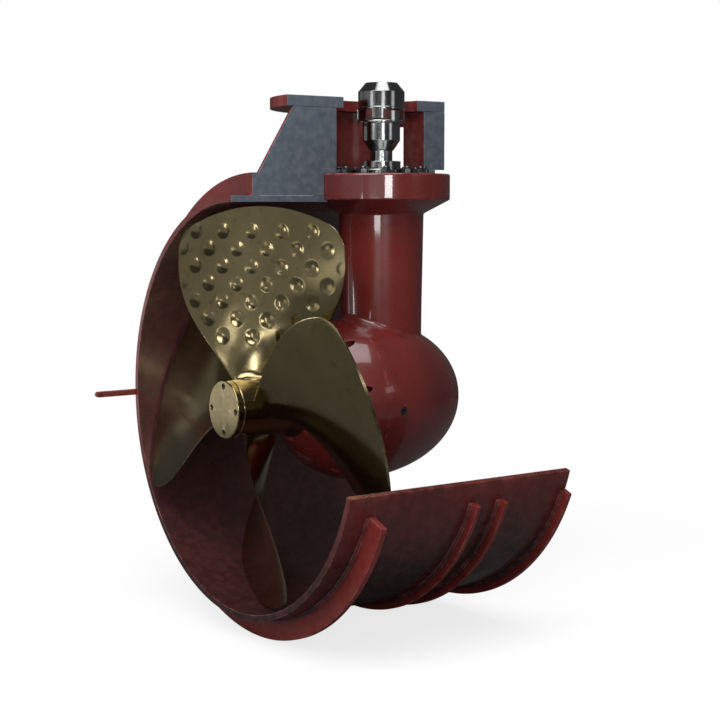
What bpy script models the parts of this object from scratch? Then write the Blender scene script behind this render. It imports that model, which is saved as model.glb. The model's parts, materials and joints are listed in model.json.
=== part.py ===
"""Tunnel bow thruster, cut away for display: tunnel, gear leg, propeller, motor stool and coupling.

Metres, +Z up. The origin is where the propeller shaft's axis (X) meets the input shaft's axis (Z).
The near half, toward -Y, is cut away from the tunnel's upper part and from the motor stool.
Angles about the X axis are counted from the top toward the near side.
"""
import math

import bmesh
import bpy
from mathutils import Matrix, Vector

# Clearances
SEAT = 0.0003
RUNNING_GAP = 0.0005

# Tunnel
BORE_R = 0.507
TUNNEL_WALL = 0.016
NEAR_X = -0.450
FAR_MARGIN = 0.031
SHELL_CUT_ANGLE = 106.5
RING_CUT_ANGLE = 112.0
SHELL_STEP_ANGLE = 6.0
FLANGE_SETBACK = 0.060
FLANGE_THICKNESS = 0.016
FLANGE_HEIGHT = 0.056
STIFFENER_PITCH = 0.085
STIFFENER_THICKNESS = 0.012
STIFFENER_HEIGHT = 0.025
END_RING_THICKNESS = 0.0115
END_RING_HEIGHT = 0.026
BAR_SIDE = 0.015
BAR_OVERHANG = 0.115
BAR_Z = -0.010

# Pod
POD_R = 0.208
POD_WIDEST_X = -0.100
POD_NOSE_LENGTH = 0.2026
POD_NOSE_REACH = 0.182
POD_TAIL_LENGTH = 0.313
POD_TAIL_POWER = 2.15
POD_WALL = 0.016
BULKHEAD_X = 0.100
BULKHEAD = 0.012

# Leg
LEG_FLANGE_DROP = 0.010
LEG_FLANGE_R = 0.178
LEG_FLANGE_THICKNESS = 0.066
LEG_FLANGE_ROUND = 0.008
CONE_HEIGHT = 0.036
COLUMN_TOP_R = 0.110
COLUMN_FOOT_R = 0.105
COLUMN_WALL = 0.019
COLUMN_FOOT_Z = 0.200
SEAT_RING_WIDTH = 0.012
SEAT_RING_LEDGE = 0.026

# Pod covers
FRONT_SEAM_SETBACK = 0.025
FRONT_OPENING_INSET = 0.043
SPIGOT_LENGTH = 0.013
SPIGOT_WALL = 0.015
TAIL_OPENING_INSET = 0.108
TAIL_SPIGOT_LENGTH = 0.008
POCKET_R = 0.011
FRONT_SCREWS = 9
FRONT_SCREW_INSET = 0.022
FRONT_SCREW_ANGLE = 75.7
FRONT_POCKET_SETBACK = 0.020
TAIL_SCREWS = 6
TAIL_SCREW_INSET = 0.072
TAIL_SCREW_ANGLE = 90.0
TAIL_POCKET_SETBACK = 0.014
TAIL_PLUG_R = 0.0065
TAIL_PLUG_LENGTH = 0.024
TAIL_PLUG_DEPTH = 0.012
TAIL_PLUG_CHAMFER = 0.002
DRAIN_PLUG_DEPTH = 0.012
DRAIN_PLUG_R = 0.011
DRAIN_PLUG_RECESS = 0.001
DRAIN_SOCKET_DEPTH = 0.006
DRAIN_PLUG_X = -0.080
DRAIN_PLUG_ANGLE = 93.0

# Bevel gears, whose common apex is the origin
PINION_TEETH = 13
CROWN_TEETH = 29
GEAR_CONE_DISTANCE = 0.148
GEAR_FACE_WIDTH = 0.045
PRESSURE_ANGLE = 20.0
ADDENDUM_SHARE = 0.80
DEDENDUM_SHARE = 1.02
BACKLASH = 0.0006
FLANK_POINTS = 3
CROWN_RIM = 0.012
CROWN_RIM_LAP = 0.006
CROWN_WEB = 0.008
CROWN_WEB_SETBACK = 0.0115
CROWN_HUB_LENGTH = 0.050
CROWN_HUB_WALL = 0.030
PINION_RIM = 0.008
PINION_HUB_LAP = 0.003
PINION_HUB_R = 0.046
PINION_SEAT_SHARE = 0.5743

# Input line
INPUT_SHAFT_R = 0.029
BEARING_STEP = 0.001
BODY_STEP = 0.007
HUB_STEP = 0.0025
PINION_STEP = 0.003
THREAD_STEP = 0.008
PINION_NUT_R = 0.026
PINION_NUT_LENGTH = 0.021
THREAD_OVERRUN = 0.003
BEARING_WIDTH = 0.040
BEARING_OUTER_R = 0.062
BEARING_LIP = 0.010
BEARING_TAPER_SHARE = 0.12
BOSS_R = 0.082
BOSS_CLEARANCE = 0.0015
BOSS_MARGIN = 0.0008
BOSS_LIP = 0.022
LOCK_NUT_THICKNESS = 0.014
LOCK_NUT_WALL = 0.011
LOCK_NUT_SLOTS = 4

# Bearing carrier and top cover
CARRIER_LENGTH = 0.117
CARRIER_CLEARANCE = 0.010
CARRIER_FLANGE_THICKNESS = 0.020
CARRIER_FLANGE_WIDTH = 0.033
CARRIER_NUTS = 12
CARRIER_NUT_INSET = 0.019
CARRIER_NUT_R = 0.0135
CARRIER_NUT_HEIGHT = 0.012
TOP_COVER_INSET = 0.023
TOP_COVER_FLANGE = 0.011
TOP_COVER_HEIGHT = 0.0327
TOP_COVER_ROOF = 0.006
TOP_SEAL_LENGTH = 0.015
SEAL_WIDTH = 0.0155
SEAL_LIP = 0.006
NECK_WALL = 0.0055

# Coupling
COUPLING_R = 0.0615
LOWER_HUB_RISE = 0.027
LOWER_HUB_LENGTH = 0.071
LOWER_HUB_CONE = 0.026
LOWER_HUB_INSET = 0.013
JAW_PLATE = 0.006
PLATE_CHAMFER = 0.001
JAW_SPACE = 0.0275
JAW_END_GAP = 0.004
JAWS = 4
JAW_ANGLE = 26.0
JAW_LENGTH = 0.0275
JAW_LAP = 0.001
SPIDER_GAP_ANGLE = 1.2
SPIDER_LAP = 0.003
SPIDER_INSET = 0.001
SPIDER_BORE_SHARE = 0.5
UPPER_PLATE = 0.0025
UPPER_HUB_INSET = 0.0005
UPPER_HUB_LENGTH = 0.066
UPPER_HUB_CHAMFER = 0.023
UPPER_HUB_WALL = 0.0085
MOTOR_BORE_R = 0.0325

# Propeller line
PROP_SHAFT_R = 0.046
FRONT_SEAT_STEP = 0.006
SEAL_STEP = 0.001
CROWN_STEP = 0.004
TAIL_SEAT_STEP = 0.008
TAPER_STEP = 0.009
FRONT_BEARING_SETBACK = 0.040
FRONT_BEARING_HEIGHT = 0.030
FRONT_BEARING_LAP = 0.007
FRONT_BOSS_WALL = 0.015
FRONT_BOSS_ROOT = 0.015
FRONT_BOSS_LENGTH = 0.047
FRONT_LIP_WIDTH = 0.020
FRONT_SEAL_WIDTH = 0.021
FRONT_SEAL_LENGTH = 0.018
FRONT_SEAL_SETBACK = 0.002
FRONT_SEAL_LIP = 0.008
TAIL_BEARING_WIDTH = 0.036
TAIL_POCKET_R = 0.050
TAIL_POCKET_DEPTH = 0.0247
TAIL_THREAD_LENGTH = 0.016

# Propeller hub, nut and cap
HUB_POD_GAP = 0.0015
HUB_LENGTH = 0.1765
HUB_R = 0.0715
HUB_BACK_R = 0.084
HUB_BACK_WIDTH = 0.008
HUB_FLARE_LENGTH = 0.0345
HUB_COLLAR_LENGTH = 0.006
HUB_RECESS_DEPTH = 0.032
HUB_RECESS_MARGIN = 0.009
PROP_NUT_WIDTH = 0.014
PROP_NUT_LENGTH = 0.018
PROP_THREAD_OVERRUN = 0.002
CAP_LENGTH = 0.0177
CAP_CHAMFER = 0.003
CAP_BOLTS = 4
CAP_BOLT_INSET = 0.014
CAP_HEAD_R = 0.0075
CAP_HEAD_LENGTH = 0.006
CAP_POCKET_DEPTH = 0.009

# Keys
KEY_WIDTH = 0.012
KEY_HEIGHT = 0.008
KEY_INSET = 0.010
PROPELLER_KEY_SETBACK = 0.030
PROPELLER_KEY_LENGTH = 0.060
PROPELLER_KEY_RISE = 0.004

# Propeller blades
BLADES = 4
BLADE_ANGLE = -0.75
BLADE_SETBACK = 0.089
BLADE_PITCH = 1.000
TIP_GAP = 0.007
BLADE_ROOT_R = 0.056
BLADE_WIDEST_R = 0.320
BLADE_WIDEST_ANGLE = 36.75
BLADE_NARROWING = 238.0
BLADE_TIP_CORNER = 0.034
BLADE_ROOT_THICKNESS = 0.030
BLADE_TIP_THICKNESS = 0.008
BLADE_EDGE_THICKNESS = 0.003
BLADE_STATIONS = 7
BLADE_CORNER_STATIONS = 3
BLADE_CHORD_POINTS = 6

# Motor stool
STOOL_LEDGE = 0.023
STOOL_WALL = 0.015
STOOL_FOOT_THICKNESS = 0.0125
STOOL_HEIGHT = 0.1516
PLATE_THICKNESS = 0.028
PLATE_WIDTH = 0.1325
PLATE_BORE_INSET = 0.037
PLATE_OVERHANG = 0.017
GUSSET_HALF = 0.010
GUSSET_TOE = 0.054
REAR_GUSSET_REACH = 0.110
WINDOW_MIDDLES = (45.0, 135.0)
WINDOW_ANGLE = 32.0
WINDOW_RISE = 0.0059
WINDOW_DROP = 0.0377
FOOT_BOLT_ANGLES = (24.0, 60.0, 120.0, 156.0)
FOOT_BOLT_R = 0.010
FOOT_BOLT_HEIGHT = 0.009
MOTOR_BOLT_INSET = 0.0375
MOTOR_BOLT_ANGLES = (67.5, 112.5, 157.5)
MOTOR_BOLT_HOLE_R = 0.009

# Places along the tunnel that follow from the sizes above
SHELL_R = BORE_R + TUNNEL_WALL
RING_SEAT_R = SHELL_R + SEAT
FAR_X = LEG_FLANGE_R + FAR_MARGIN
FLANGE_X = NEAR_X + FLANGE_SETBACK
FLANGE_END_X = FLANGE_X + FLANGE_THICKNESS
STIFFENER_XS = (-STIFFENER_PITCH, 0.0)
SEAT_RING_R = LEG_FLANGE_R + SEAT_RING_WIDTH
SEAT_RING_BORE_R = LEG_FLANGE_R - SEAT_RING_LEDGE

# Places up the leg
LEG_FLANGE_LOW_Z = SHELL_R - LEG_FLANGE_DROP
LEG_FLANGE_TOP_Z = LEG_FLANGE_LOW_Z + LEG_FLANGE_THICKNESS
CONE_LOW_Z = LEG_FLANGE_LOW_Z - CONE_HEIGHT
SEAT_RING_TOP_Z = SHELL_R
COLUMN_BORE_R = COLUMN_FOOT_R - COLUMN_WALL

# Places along the pod
POD_NOSE_X = POD_WIDEST_X - POD_NOSE_REACH
POD_TIP_X = POD_WIDEST_X + POD_TAIL_LENGTH
FRONT_SEAM_X = POD_WIDEST_X - FRONT_SEAM_SETBACK
FRONT_OPENING_R = POD_R - FRONT_OPENING_INSET
FRONT_SCREW_CIRCLE_R = POD_R - FRONT_SCREW_INSET
FRONT_POCKET_X = FRONT_SEAM_X - FRONT_POCKET_SETBACK
TAIL_SEAM_X = BULKHEAD_X + BULKHEAD
TAIL_OPENING_R = POD_R - TAIL_OPENING_INSET
TAIL_SCREW_CIRCLE_R = POD_R - TAIL_SCREW_INSET
TAIL_POCKET_FACE_X = TAIL_SEAM_X + TAIL_POCKET_SETBACK

# The motor stool stands on the leg's flange
STOOL_R = LEG_FLANGE_R - STOOL_LEDGE
STOOL_BORE_R = STOOL_R - STOOL_WALL
STOOL_FOOT_Z = LEG_FLANGE_TOP_Z + SEAT
STOOL_LOW_Z = STOOL_FOOT_Z + STOOL_FOOT_THICKNESS + SEAT
STOOL_TOP_Z = STOOL_LOW_Z + STOOL_HEIGHT
PLATE_LOW_Z = STOOL_TOP_Z + SEAT
PLATE_TOP_Z = PLATE_LOW_Z + PLATE_THICKNESS
PLATE_R = STOOL_R + PLATE_WIDTH
PLATE_BORE_R = STOOL_R - PLATE_BORE_INSET
MOTOR_BOLT_CIRCLE_R = PLATE_R - MOTOR_BOLT_INSET
WINDOW_LOW_Z = STOOL_LOW_Z + WINDOW_RISE
WINDOW_TOP_Z = STOOL_TOP_Z - WINDOW_DROP
REAR_GUSSET_FOOT_Y = SEAT_RING_R + REAR_GUSSET_REACH

# The bearing carrier fits inside the stool, and the top cover inside its nuts
CARRIER_FLANGE_R = STOOL_BORE_R - CARRIER_CLEARANCE
CARRIER_R = CARRIER_FLANGE_R - CARRIER_FLANGE_WIDTH
CARRIER_NUT_CIRCLE_R = CARRIER_FLANGE_R - CARRIER_NUT_INSET
CARRIER_LOW_Z = LEG_FLANGE_TOP_Z - CARRIER_LENGTH
CARRIER_SEAT_Z = LEG_FLANGE_TOP_Z - CARRIER_FLANGE_THICKNESS
UPPER_BEARING_Z = CARRIER_LOW_Z + BEARING_LIP
UPPER_BEARING_TOP_Z = UPPER_BEARING_Z + BEARING_WIDTH
BEARING_BORE_R = BEARING_OUTER_R + SEAT
TOP_COVER_R = CARRIER_NUT_CIRCLE_R - TOP_COVER_INSET
TOP_COVER_Z = LEG_FLANGE_TOP_Z + SEAT
TOP_COVER_TOP_Z = TOP_COVER_Z + TOP_COVER_HEIGHT
TOP_SEAL_LOW_Z = TOP_COVER_TOP_Z - TOP_SEAL_LENGTH
TOP_SEAL_R = INPUT_SHAFT_R + SEAL_WIDTH
TOP_COVER_NECK_R = TOP_SEAL_R + NECK_WALL

# The gears, and the input shaft's seats
PINION_CONE = math.atan2(PINION_TEETH, CROWN_TEETH)
CROWN_CONE = math.pi / 2 - PINION_CONE
PINION_SEAT_Z = GEAR_CONE_DISTANCE * PINION_SEAT_SHARE
PINION_BACK_Z = GEAR_CONE_DISTANCE
PINION_NUT_Z = PINION_SEAT_Z - PINION_NUT_LENGTH
BOSS_LOW_Z = PINION_BACK_Z + BOSS_CLEARANCE
PINION_BEARING_Z = BOSS_LOW_Z + BOSS_MARGIN
PINION_BEARING_TOP_Z = PINION_BEARING_Z + BEARING_WIDTH
INPUT_BEARING_R = INPUT_SHAFT_R + BEARING_STEP
INPUT_BODY_R = INPUT_SHAFT_R + BODY_STEP
INPUT_HUB_R = INPUT_SHAFT_R - HUB_STEP
PINION_BORE_R = INPUT_SHAFT_R - PINION_STEP
PINION_THREAD_R = PINION_BORE_R - THREAD_STEP
CROWN_HEEL_X = GEAR_CONE_DISTANCE * math.cos(CROWN_CONE)
CROWN_WEB_X = CROWN_HEEL_X + CROWN_WEB_SETBACK
CROWN_BACK_X = CROWN_WEB_X + 2 * CROWN_WEB
CROWN_SHOULDER_X = CROWN_BACK_X - CROWN_HUB_LENGTH

# The coupling stands above the top cover
LOWER_HUB_Z = TOP_COVER_TOP_Z + LOWER_HUB_RISE
LOWER_HUB_TOP_Z = LOWER_HUB_Z + LOWER_HUB_LENGTH
LOWER_HUB_NECK_Z = LOWER_HUB_Z + LOWER_HUB_CONE
LOWER_HUB_R = COUPLING_R - LOWER_HUB_INSET
LOWER_JAW_Z = LOWER_HUB_TOP_Z + JAW_PLATE
UPPER_PLATE_Z = LOWER_JAW_Z + JAW_SPACE
UPPER_HUB_Z = UPPER_PLATE_Z + UPPER_PLATE
UPPER_HUB_R = COUPLING_R - UPPER_HUB_INSET
UPPER_HUB_TOP_Z = UPPER_HUB_Z + UPPER_HUB_LENGTH
UPPER_HUB_SHOULDER_Z = UPPER_HUB_TOP_Z - UPPER_HUB_CHAMFER
UPPER_HUB_TOP_R = MOTOR_BORE_R + UPPER_HUB_WALL
JAW_INNER_R = COUPLING_R - JAW_LENGTH

# The propeller shaft's seats
FRONT_BEARING_SEAT_R = PROP_SHAFT_R - FRONT_SEAT_STEP
SEAL_RUN_R = FRONT_BEARING_SEAT_R - SEAL_STEP
CROWN_SEAT_R = PROP_SHAFT_R - CROWN_STEP
CROWN_HUB_R = CROWN_SEAT_R + CROWN_HUB_WALL
TAIL_BEARING_SEAT_R = CROWN_SEAT_R - TAIL_SEAT_STEP
FRONT_BEARING_X = FRONT_SEAM_X - FRONT_BEARING_SETBACK
FRONT_BEARING_END_X = FRONT_BEARING_X - BEARING_WIDTH
FRONT_BEARING_OUTER_R = FRONT_BEARING_SEAT_R + FRONT_BEARING_HEIGHT
FRONT_BOSS_R = FRONT_BEARING_OUTER_R + FRONT_BOSS_WALL
FRONT_LIP_R = FRONT_BEARING_OUTER_R - FRONT_LIP_WIDTH
FRONT_SEAL_R = SEAL_RUN_R + FRONT_SEAL_WIDTH
TAIL_BEARING_X = TAIL_SEAM_X + SEAT - TAIL_SPIGOT_LENGTH
TAIL_BEARING_END_X = TAIL_BEARING_X + TAIL_BEARING_WIDTH
TAIL_POCKET_X = TAIL_BEARING_END_X + TAIL_POCKET_DEPTH

# The propeller stands in front of the pod's nose
HUB_BACK_X = POD_NOSE_X - HUB_POD_GAP
HUB_COLLAR_X = HUB_BACK_X - HUB_COLLAR_LENGTH
HUB_FLARE_X = HUB_BACK_X - HUB_FLARE_LENGTH
HUB_FRONT_X = HUB_BACK_X - HUB_LENGTH
HUB_RECESS_X = HUB_FRONT_X + HUB_RECESS_DEPTH
HUB_TAPER_FRONT_R = SEAL_RUN_R - TAPER_STEP
PROP_THREAD_R = HUB_TAPER_FRONT_R - THREAD_STEP
PROP_NUT_R = PROP_THREAD_R + PROP_NUT_WIDTH
HUB_RECESS_R = PROP_NUT_R + HUB_RECESS_MARGIN
HUB_NUT_X = HUB_RECESS_X - SEAT - PROP_NUT_LENGTH
CAP_BACK_X = HUB_FRONT_X - SEAT
CAP_FRONT_X = CAP_BACK_X - CAP_LENGTH
CAP_BOLT_CIRCLE_R = HUB_R - CAP_BOLT_INSET
BLADE_X = HUB_FRONT_X + BLADE_SETBACK
BLADE_TIP_R = BORE_R - TIP_GAP

# How finely round forms are faceted; pieces that fit together share one count
OUTER_SIDES = 32
HUB_SIDES = 32
INNER_SIDES = 16
HOLE_SIDES = 8
SMOOTH_ANGLE = math.radians(35.0)
LONG = 2.0

COLOURS = {
    "red": ((0.26, 0.035, 0.030), 0.28, 0.0),
    "bronze": ((0.42, 0.33, 0.16), 0.30, 1.0),
    "steel": ((0.56, 0.56, 0.57), 0.25, 1.0),
    "dark_steel": ((0.16, 0.16, 0.17), 0.45, 1.0),
    "rubber": ((0.02, 0.02, 0.02), 0.70, 0.0),
    "polymer": ((0.45, 0.05, 0.03), 0.50, 0.0),
}


def clear_scene():
    """Start from an empty scene."""
    for item in list(bpy.data.objects):
        bpy.data.objects.remove(item, do_unlink=True)


def finish_of(name, colour):
    """Give one piece a material of its own."""
    base, roughness, metallic = COLOURS[colour]
    material = bpy.data.materials.new(name + "_finish")
    material.use_nodes = True
    shader = material.node_tree.nodes["Principled BSDF"]
    shader.inputs["Base Color"].default_value = (*base, 1.0)
    shader.inputs["Roughness"].default_value = roughness
    shader.inputs["Metallic"].default_value = metallic
    return material


def object_from(mesh, name):
    """Close a bmesh into a new object with its faces pointing out."""
    bmesh.ops.remove_doubles(mesh, verts=mesh.verts, dist=1e-6)
    bmesh.ops.recalc_face_normals(mesh, faces=mesh.faces)
    data = bpy.data.meshes.new(name)
    mesh.to_mesh(data)
    mesh.free()
    item = bpy.data.objects.new(name, data)
    bpy.context.scene.collection.objects.link(item)
    return item


def about(axis, along, radius, angle):
    """A point at an angle about an axis: from the top toward -Y on X, from +X toward +Y on Z."""
    if axis == "X":
        return Vector((along, -radius * math.sin(angle), radius * math.cos(angle)))
    return Vector((radius * math.cos(angle), radius * math.sin(angle), along))


def spun(name, outline, axis, angles, whole):
    """Carry a closed outline of (along, radius) points through a list of angles about an axis."""
    mesh = bmesh.new()
    rings = []
    for angle in angles:
        turn = math.radians(angle)
        rings.append([mesh.verts.new(about(axis, along, radius, turn)) for along, radius in outline])
    count = len(outline)
    pairs = list(zip(rings, rings[1:]))
    if whole:
        pairs.append((rings[-1], rings[0]))
    for before, after in pairs:
        for point in range(count):
            beyond = (point + 1) % count
            mesh.faces.new((before[point], before[beyond], after[beyond], after[point]))
    if not whole:
        mesh.faces.new(rings[0])
        mesh.faces.new(list(reversed(rings[-1])))
    return object_from(mesh, name)


def turned(name, outline, axis="Z", segments=INNER_SIDES, start=0.0, sweep=360.0):
    """Turn a closed outline of (along, radius) points about an axis, in equal steps."""
    whole = sweep > 359.99
    steps = segments if whole else segments + 1
    angles = [start + sweep * step / segments for step in range(steps)]
    return spun(name, outline, axis, angles, whole)


def ring(name, low, high, inner, outer, axis="Z", segments=INNER_SIDES, start=0.0, sweep=360.0):
    """A plain ring between two places along its axis."""
    outline = ((low, inner), (low, outer), (high, outer), (high, inner))
    return turned(name, outline, axis, segments, start, sweep)


def rod(name, low, high, radius, axis="Z", segments=INNER_SIDES):
    """A plain round bar."""
    return turned(name, ((low, 0.0), (low, radius), (high, radius), (high, 0.0)), axis, segments)


def slab(name, outline, across, low, high):
    """Extrude a flat outline along X, Y or Z. It is given in the other two, in their order."""
    order = {"X": lambda u, v, w: (w, u, v), "Y": lambda u, v, w: (u, w, v), "Z": lambda u, v, w: (u, v, w)}
    place = order[across]
    mesh = bmesh.new()
    front = [mesh.verts.new(place(u, v, low)) for u, v in outline]
    back = [mesh.verts.new(place(u, v, high)) for u, v in outline]
    mesh.faces.new(front)
    mesh.faces.new(list(reversed(back)))
    for point in range(len(outline)):
        beyond = (point + 1) % len(outline)
        mesh.faces.new((front[point], front[beyond], back[beyond], back[point]))
    return object_from(mesh, name)


def block(name, low, high):
    """A plain box between two corners."""
    outline = ((low[0], low[1]), (high[0], low[1]), (high[0], high[1]), (low[0], high[1]))
    return slab(name, outline, "Z", low[2], high[2])


def combine(item, tool, operation):
    """Join a tool to an item or cut it away, and keep only the result."""
    modifier = item.modifiers.new(operation, "BOOLEAN")
    modifier.operation = operation
    modifier.solver = "EXACT"
    modifier.object = tool
    bpy.context.view_layer.update()
    depsgraph = bpy.context.evaluated_depsgraph_get()
    mesh = bpy.data.meshes.new_from_object(item.evaluated_get(depsgraph))
    item.modifiers.clear()
    item.data = mesh
    bpy.data.objects.remove(tool, do_unlink=True)
    return item


def cut(item, *tools):
    """Cut tools away from an item."""
    for tool in tools:
        combine(item, tool, "DIFFERENCE")
    return item


def join(item, *tools):
    """Join tools to an item as one solid."""
    for tool in tools:
        combine(item, tool, "UNION")
    return item


def repeat(item, places):
    """Repeat an item at each place, as one object of separate solids."""
    whole = bmesh.new()
    for place in places:
        copy = item.data.copy()
        copy.transform(place)
        whole.from_mesh(copy)
        bpy.data.meshes.remove(copy)
    whole.to_mesh(item.data)
    whole.free()
    return item


def round_x(count, first=0.0):
    """Turns about the X axis, from the top toward the near side."""
    return [Matrix.Rotation(math.radians(first + 360.0 * index / count), 4, "X") for index in range(count)]


def round_z(angles):
    """Turns about the Z axis."""
    return [Matrix.Rotation(math.radians(angle), 4, "Z") for angle in angles]


def even(count, first=0.0):
    """Evenly spaced angles round a circle."""
    return [first + 360.0 * index / count for index in range(count)]


def pod_radius(x):
    """The radius of the pod at a place along the propeller shaft."""
    if x < POD_WIDEST_X:
        share = min(1.0, (POD_WIDEST_X - x) / POD_NOSE_LENGTH)
        return POD_R * math.sqrt(1.0 - share ** 2)
    share = min(1.0, (x - POD_WIDEST_X) / POD_TAIL_LENGTH)
    return POD_R * (1.0 - share ** POD_TAIL_POWER) ** (1.0 / POD_TAIL_POWER)


def pod_curve(start, end, steps, inset=0.0):
    """Points along the pod's outline between two places."""
    places = [start + (end - start) * step / steps for step in range(steps + 1)]
    return [(x, pod_radius(x) - inset) for x in places]


def tunnel_arc(name, low, high, inner, outer, start, end=360.0):
    """A ring of the tunnel that is left standing between two angles, faceted at the shell's own steps."""
    steps = int(360.0 / SHELL_STEP_ANGLE)
    between = [360.0 - SHELL_STEP_ANGLE * step for step in range(steps, 0, -1)]
    angles = [start] + [angle for angle in between if start + 0.5 < angle < end - 0.5] + [end]
    outline = ((low, inner), (low, outer), (high, outer), (high, inner))
    return spun(name, outline, "X", angles, False)


def tunnel_pieces():
    """The tunnel's shell and all that is welded round it."""
    shell = tunnel_arc("tunnel_shell", NEAR_X, FAR_X, BORE_R, SHELL_R, SHELL_CUT_ANGLE)
    cut(shell, rod("hole", 0.0, LONG, SEAT_RING_R + SEAT, segments=OUTER_SIDES))
    pieces = [shell]
    flange = tunnel_arc("tunnel_flange", FLANGE_X, FLANGE_END_X, RING_SEAT_R,
                        SHELL_R + FLANGE_HEIGHT, RING_CUT_ANGLE)
    pieces.append(flange)
    for index, x in enumerate(STIFFENER_XS):
        reach = max(side_reach(x), REAR_GUSSET_FOOT_Y if abs(x) < 2 * GUSSET_HALF else 0.0)
        end = 360.0 - math.degrees(math.asin((reach + 2 * SEAT) / RING_SEAT_R))
        half = STIFFENER_THICKNESS / 2
        name = "stiffener_ring_" + str(index + 1)
        outer = SHELL_R + STIFFENER_HEIGHT
        pieces.append(tunnel_arc(name, x - half, x + half, RING_SEAT_R, outer, RING_CUT_ANGLE, end))
    end_ring = tunnel_arc("tunnel_end_ring", FAR_X - END_RING_THICKNESS, FAR_X, RING_SEAT_R,
                          SHELL_R + END_RING_HEIGHT, RING_CUT_ANGLE)
    return pieces + [end_ring, side_bar(), leg_seat_ring()]


def side_reach(x):
    """How far the leg's seat ring reaches to the side at a place along the tunnel."""
    nearest = max(0.0, abs(x) - STIFFENER_THICKNESS / 2)
    return math.sqrt(max(0.0, (SEAT_RING_R + SEAT) ** 2 - nearest ** 2))


def side_bar():
    """The round-ended bar welded to the tunnel's far side, from its flange out past the rim."""
    low = BAR_Z - BAR_SIDE / 2
    inside = RING_SEAT_R
    radius = BAR_SIDE / 2
    start = NEAR_X - BAR_OVERHANG + radius
    bends = [math.radians(90.0 + 180.0 * step / 6) for step in range(7)]
    outline = [(start + radius * math.cos(bend), BAR_Z + radius * math.sin(bend)) for bend in bends]
    outline += [(FLANGE_X - SEAT, low), (FLANGE_X - SEAT, low + BAR_SIDE)]
    return slab("tunnel_side_bar", outline, "Y", inside, inside + BAR_SIDE)


def leg_seat_ring():
    """The ring let into the tunnel's roof, in whose recess the leg's conical flange sits."""
    low = math.sqrt(BORE_R ** 2 - SEAT_RING_R ** 2) - 0.02
    item = ring("leg_seat_ring", low, SEAT_RING_TOP_Z, SEAT_RING_BORE_R, SEAT_RING_R,
                segments=OUTER_SIDES // 2, sweep=180.0)
    cut(item, rod("bore", -LONG, LONG, BORE_R, "X", round(360.0 / SHELL_STEP_ANGLE)))
    drop = SEAT * 1.2
    bottom = CONE_LOW_Z - drop
    floor = LEG_FLANGE_LOW_Z - drop
    recess = LEG_FLANGE_R + SEAT
    outline = ((bottom, 0.0), (bottom, COLUMN_TOP_R), (floor, LEG_FLANGE_R), (floor, recess), (LONG, recess),
               (LONG, 0.0))
    return cut(item, turned("recess", outline, segments=OUTER_SIDES))


def leg_housing():
    """The cast leg: flange, column and pod, hollow for the shafts and gears."""
    top = LEG_FLANGE_TOP_Z
    column = ((0.05, 0.0), (0.05, COLUMN_FOOT_R), (COLUMN_FOOT_Z, COLUMN_FOOT_R), (CONE_LOW_Z, COLUMN_TOP_R),
              (LEG_FLANGE_LOW_Z, LEG_FLANGE_R), (top - LEG_FLANGE_ROUND, LEG_FLANGE_R),
              (top - LEG_FLANGE_ROUND * 0.3, LEG_FLANGE_R - LEG_FLANGE_ROUND * 0.3),
              (top, LEG_FLANGE_R - LEG_FLANGE_ROUND), (top, 0.0))
    item = turned("leg_housing", column, segments=OUTER_SIDES)
    pod = [(FRONT_SEAM_X, 0.0)] + pod_curve(FRONT_SEAM_X, TAIL_SEAM_X, 8) + [(TAIL_SEAM_X, 0.0)]
    join(item, turned("pod", pod, "X", OUTER_SIDES))
    cut(item, leg_hollow(), column_hollow())
    cut(item, rod("tail_opening", BULKHEAD_X - 0.01, LONG, TAIL_OPENING_R + SEAT, "X"))
    plug = rod("plug", POD_R - DRAIN_PLUG_DEPTH, LONG, DRAIN_PLUG_R + SEAT, segments=HOLE_SIDES)
    return cut(item, drain_place(plug))


def drain_place(item):
    """Turn an upright item to where the drain plug is screwed into the pod's side."""
    turn = Matrix.Rotation(math.radians(DRAIN_PLUG_ANGLE), 4, "X")
    item.data.transform(turn @ Matrix.Translation((DRAIN_PLUG_X, 0.0, 0.0)))
    return item


def leg_hollow():
    """The gear chamber inside the pod, with the bearing boss left standing in it."""
    front = FRONT_SEAM_X - 0.01
    step_x = FRONT_SEAM_X + 2 * SPIGOT_LENGTH
    outline = [(front, 0.0), (front, FRONT_OPENING_R + SEAT), (step_x, FRONT_OPENING_R + SEAT)]
    outline += pod_curve(step_x + 0.01, BULKHEAD_X, 4, POD_WALL)
    outline += [(BULKHEAD_X, 0.0)]
    hollow = turned("hollow", outline, "X")
    return cut(hollow, rod("boss", BOSS_LOW_Z, LONG, BOSS_R))


def column_hollow():
    """The stepped bore down the column, from the carrier's recess to the pinion's bearing."""
    shoulder = PINION_BEARING_TOP_Z + SEAT
    floor = shoulder + BOSS_LIP
    lip = BEARING_BORE_R - BEARING_LIP
    carrier = CARRIER_SEAT_Z - SEAT
    top = LEG_FLANGE_TOP_Z + 0.01
    outline = ((BOSS_LOW_Z - 0.01, 0.0), (BOSS_LOW_Z - 0.01, BEARING_BORE_R), (shoulder, BEARING_BORE_R),
               (shoulder, lip), (floor, lip), (floor, COLUMN_BORE_R), (CARRIER_LOW_Z - 0.02, COLUMN_BORE_R),
               (CARRIER_LOW_Z - 0.01, CARRIER_R + SEAT), (carrier, CARRIER_R + SEAT),
               (carrier, CARRIER_FLANGE_R + SEAT), (top, CARRIER_FLANGE_R + SEAT), (top, 0.0))
    return turned("column_hollow", outline)


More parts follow.
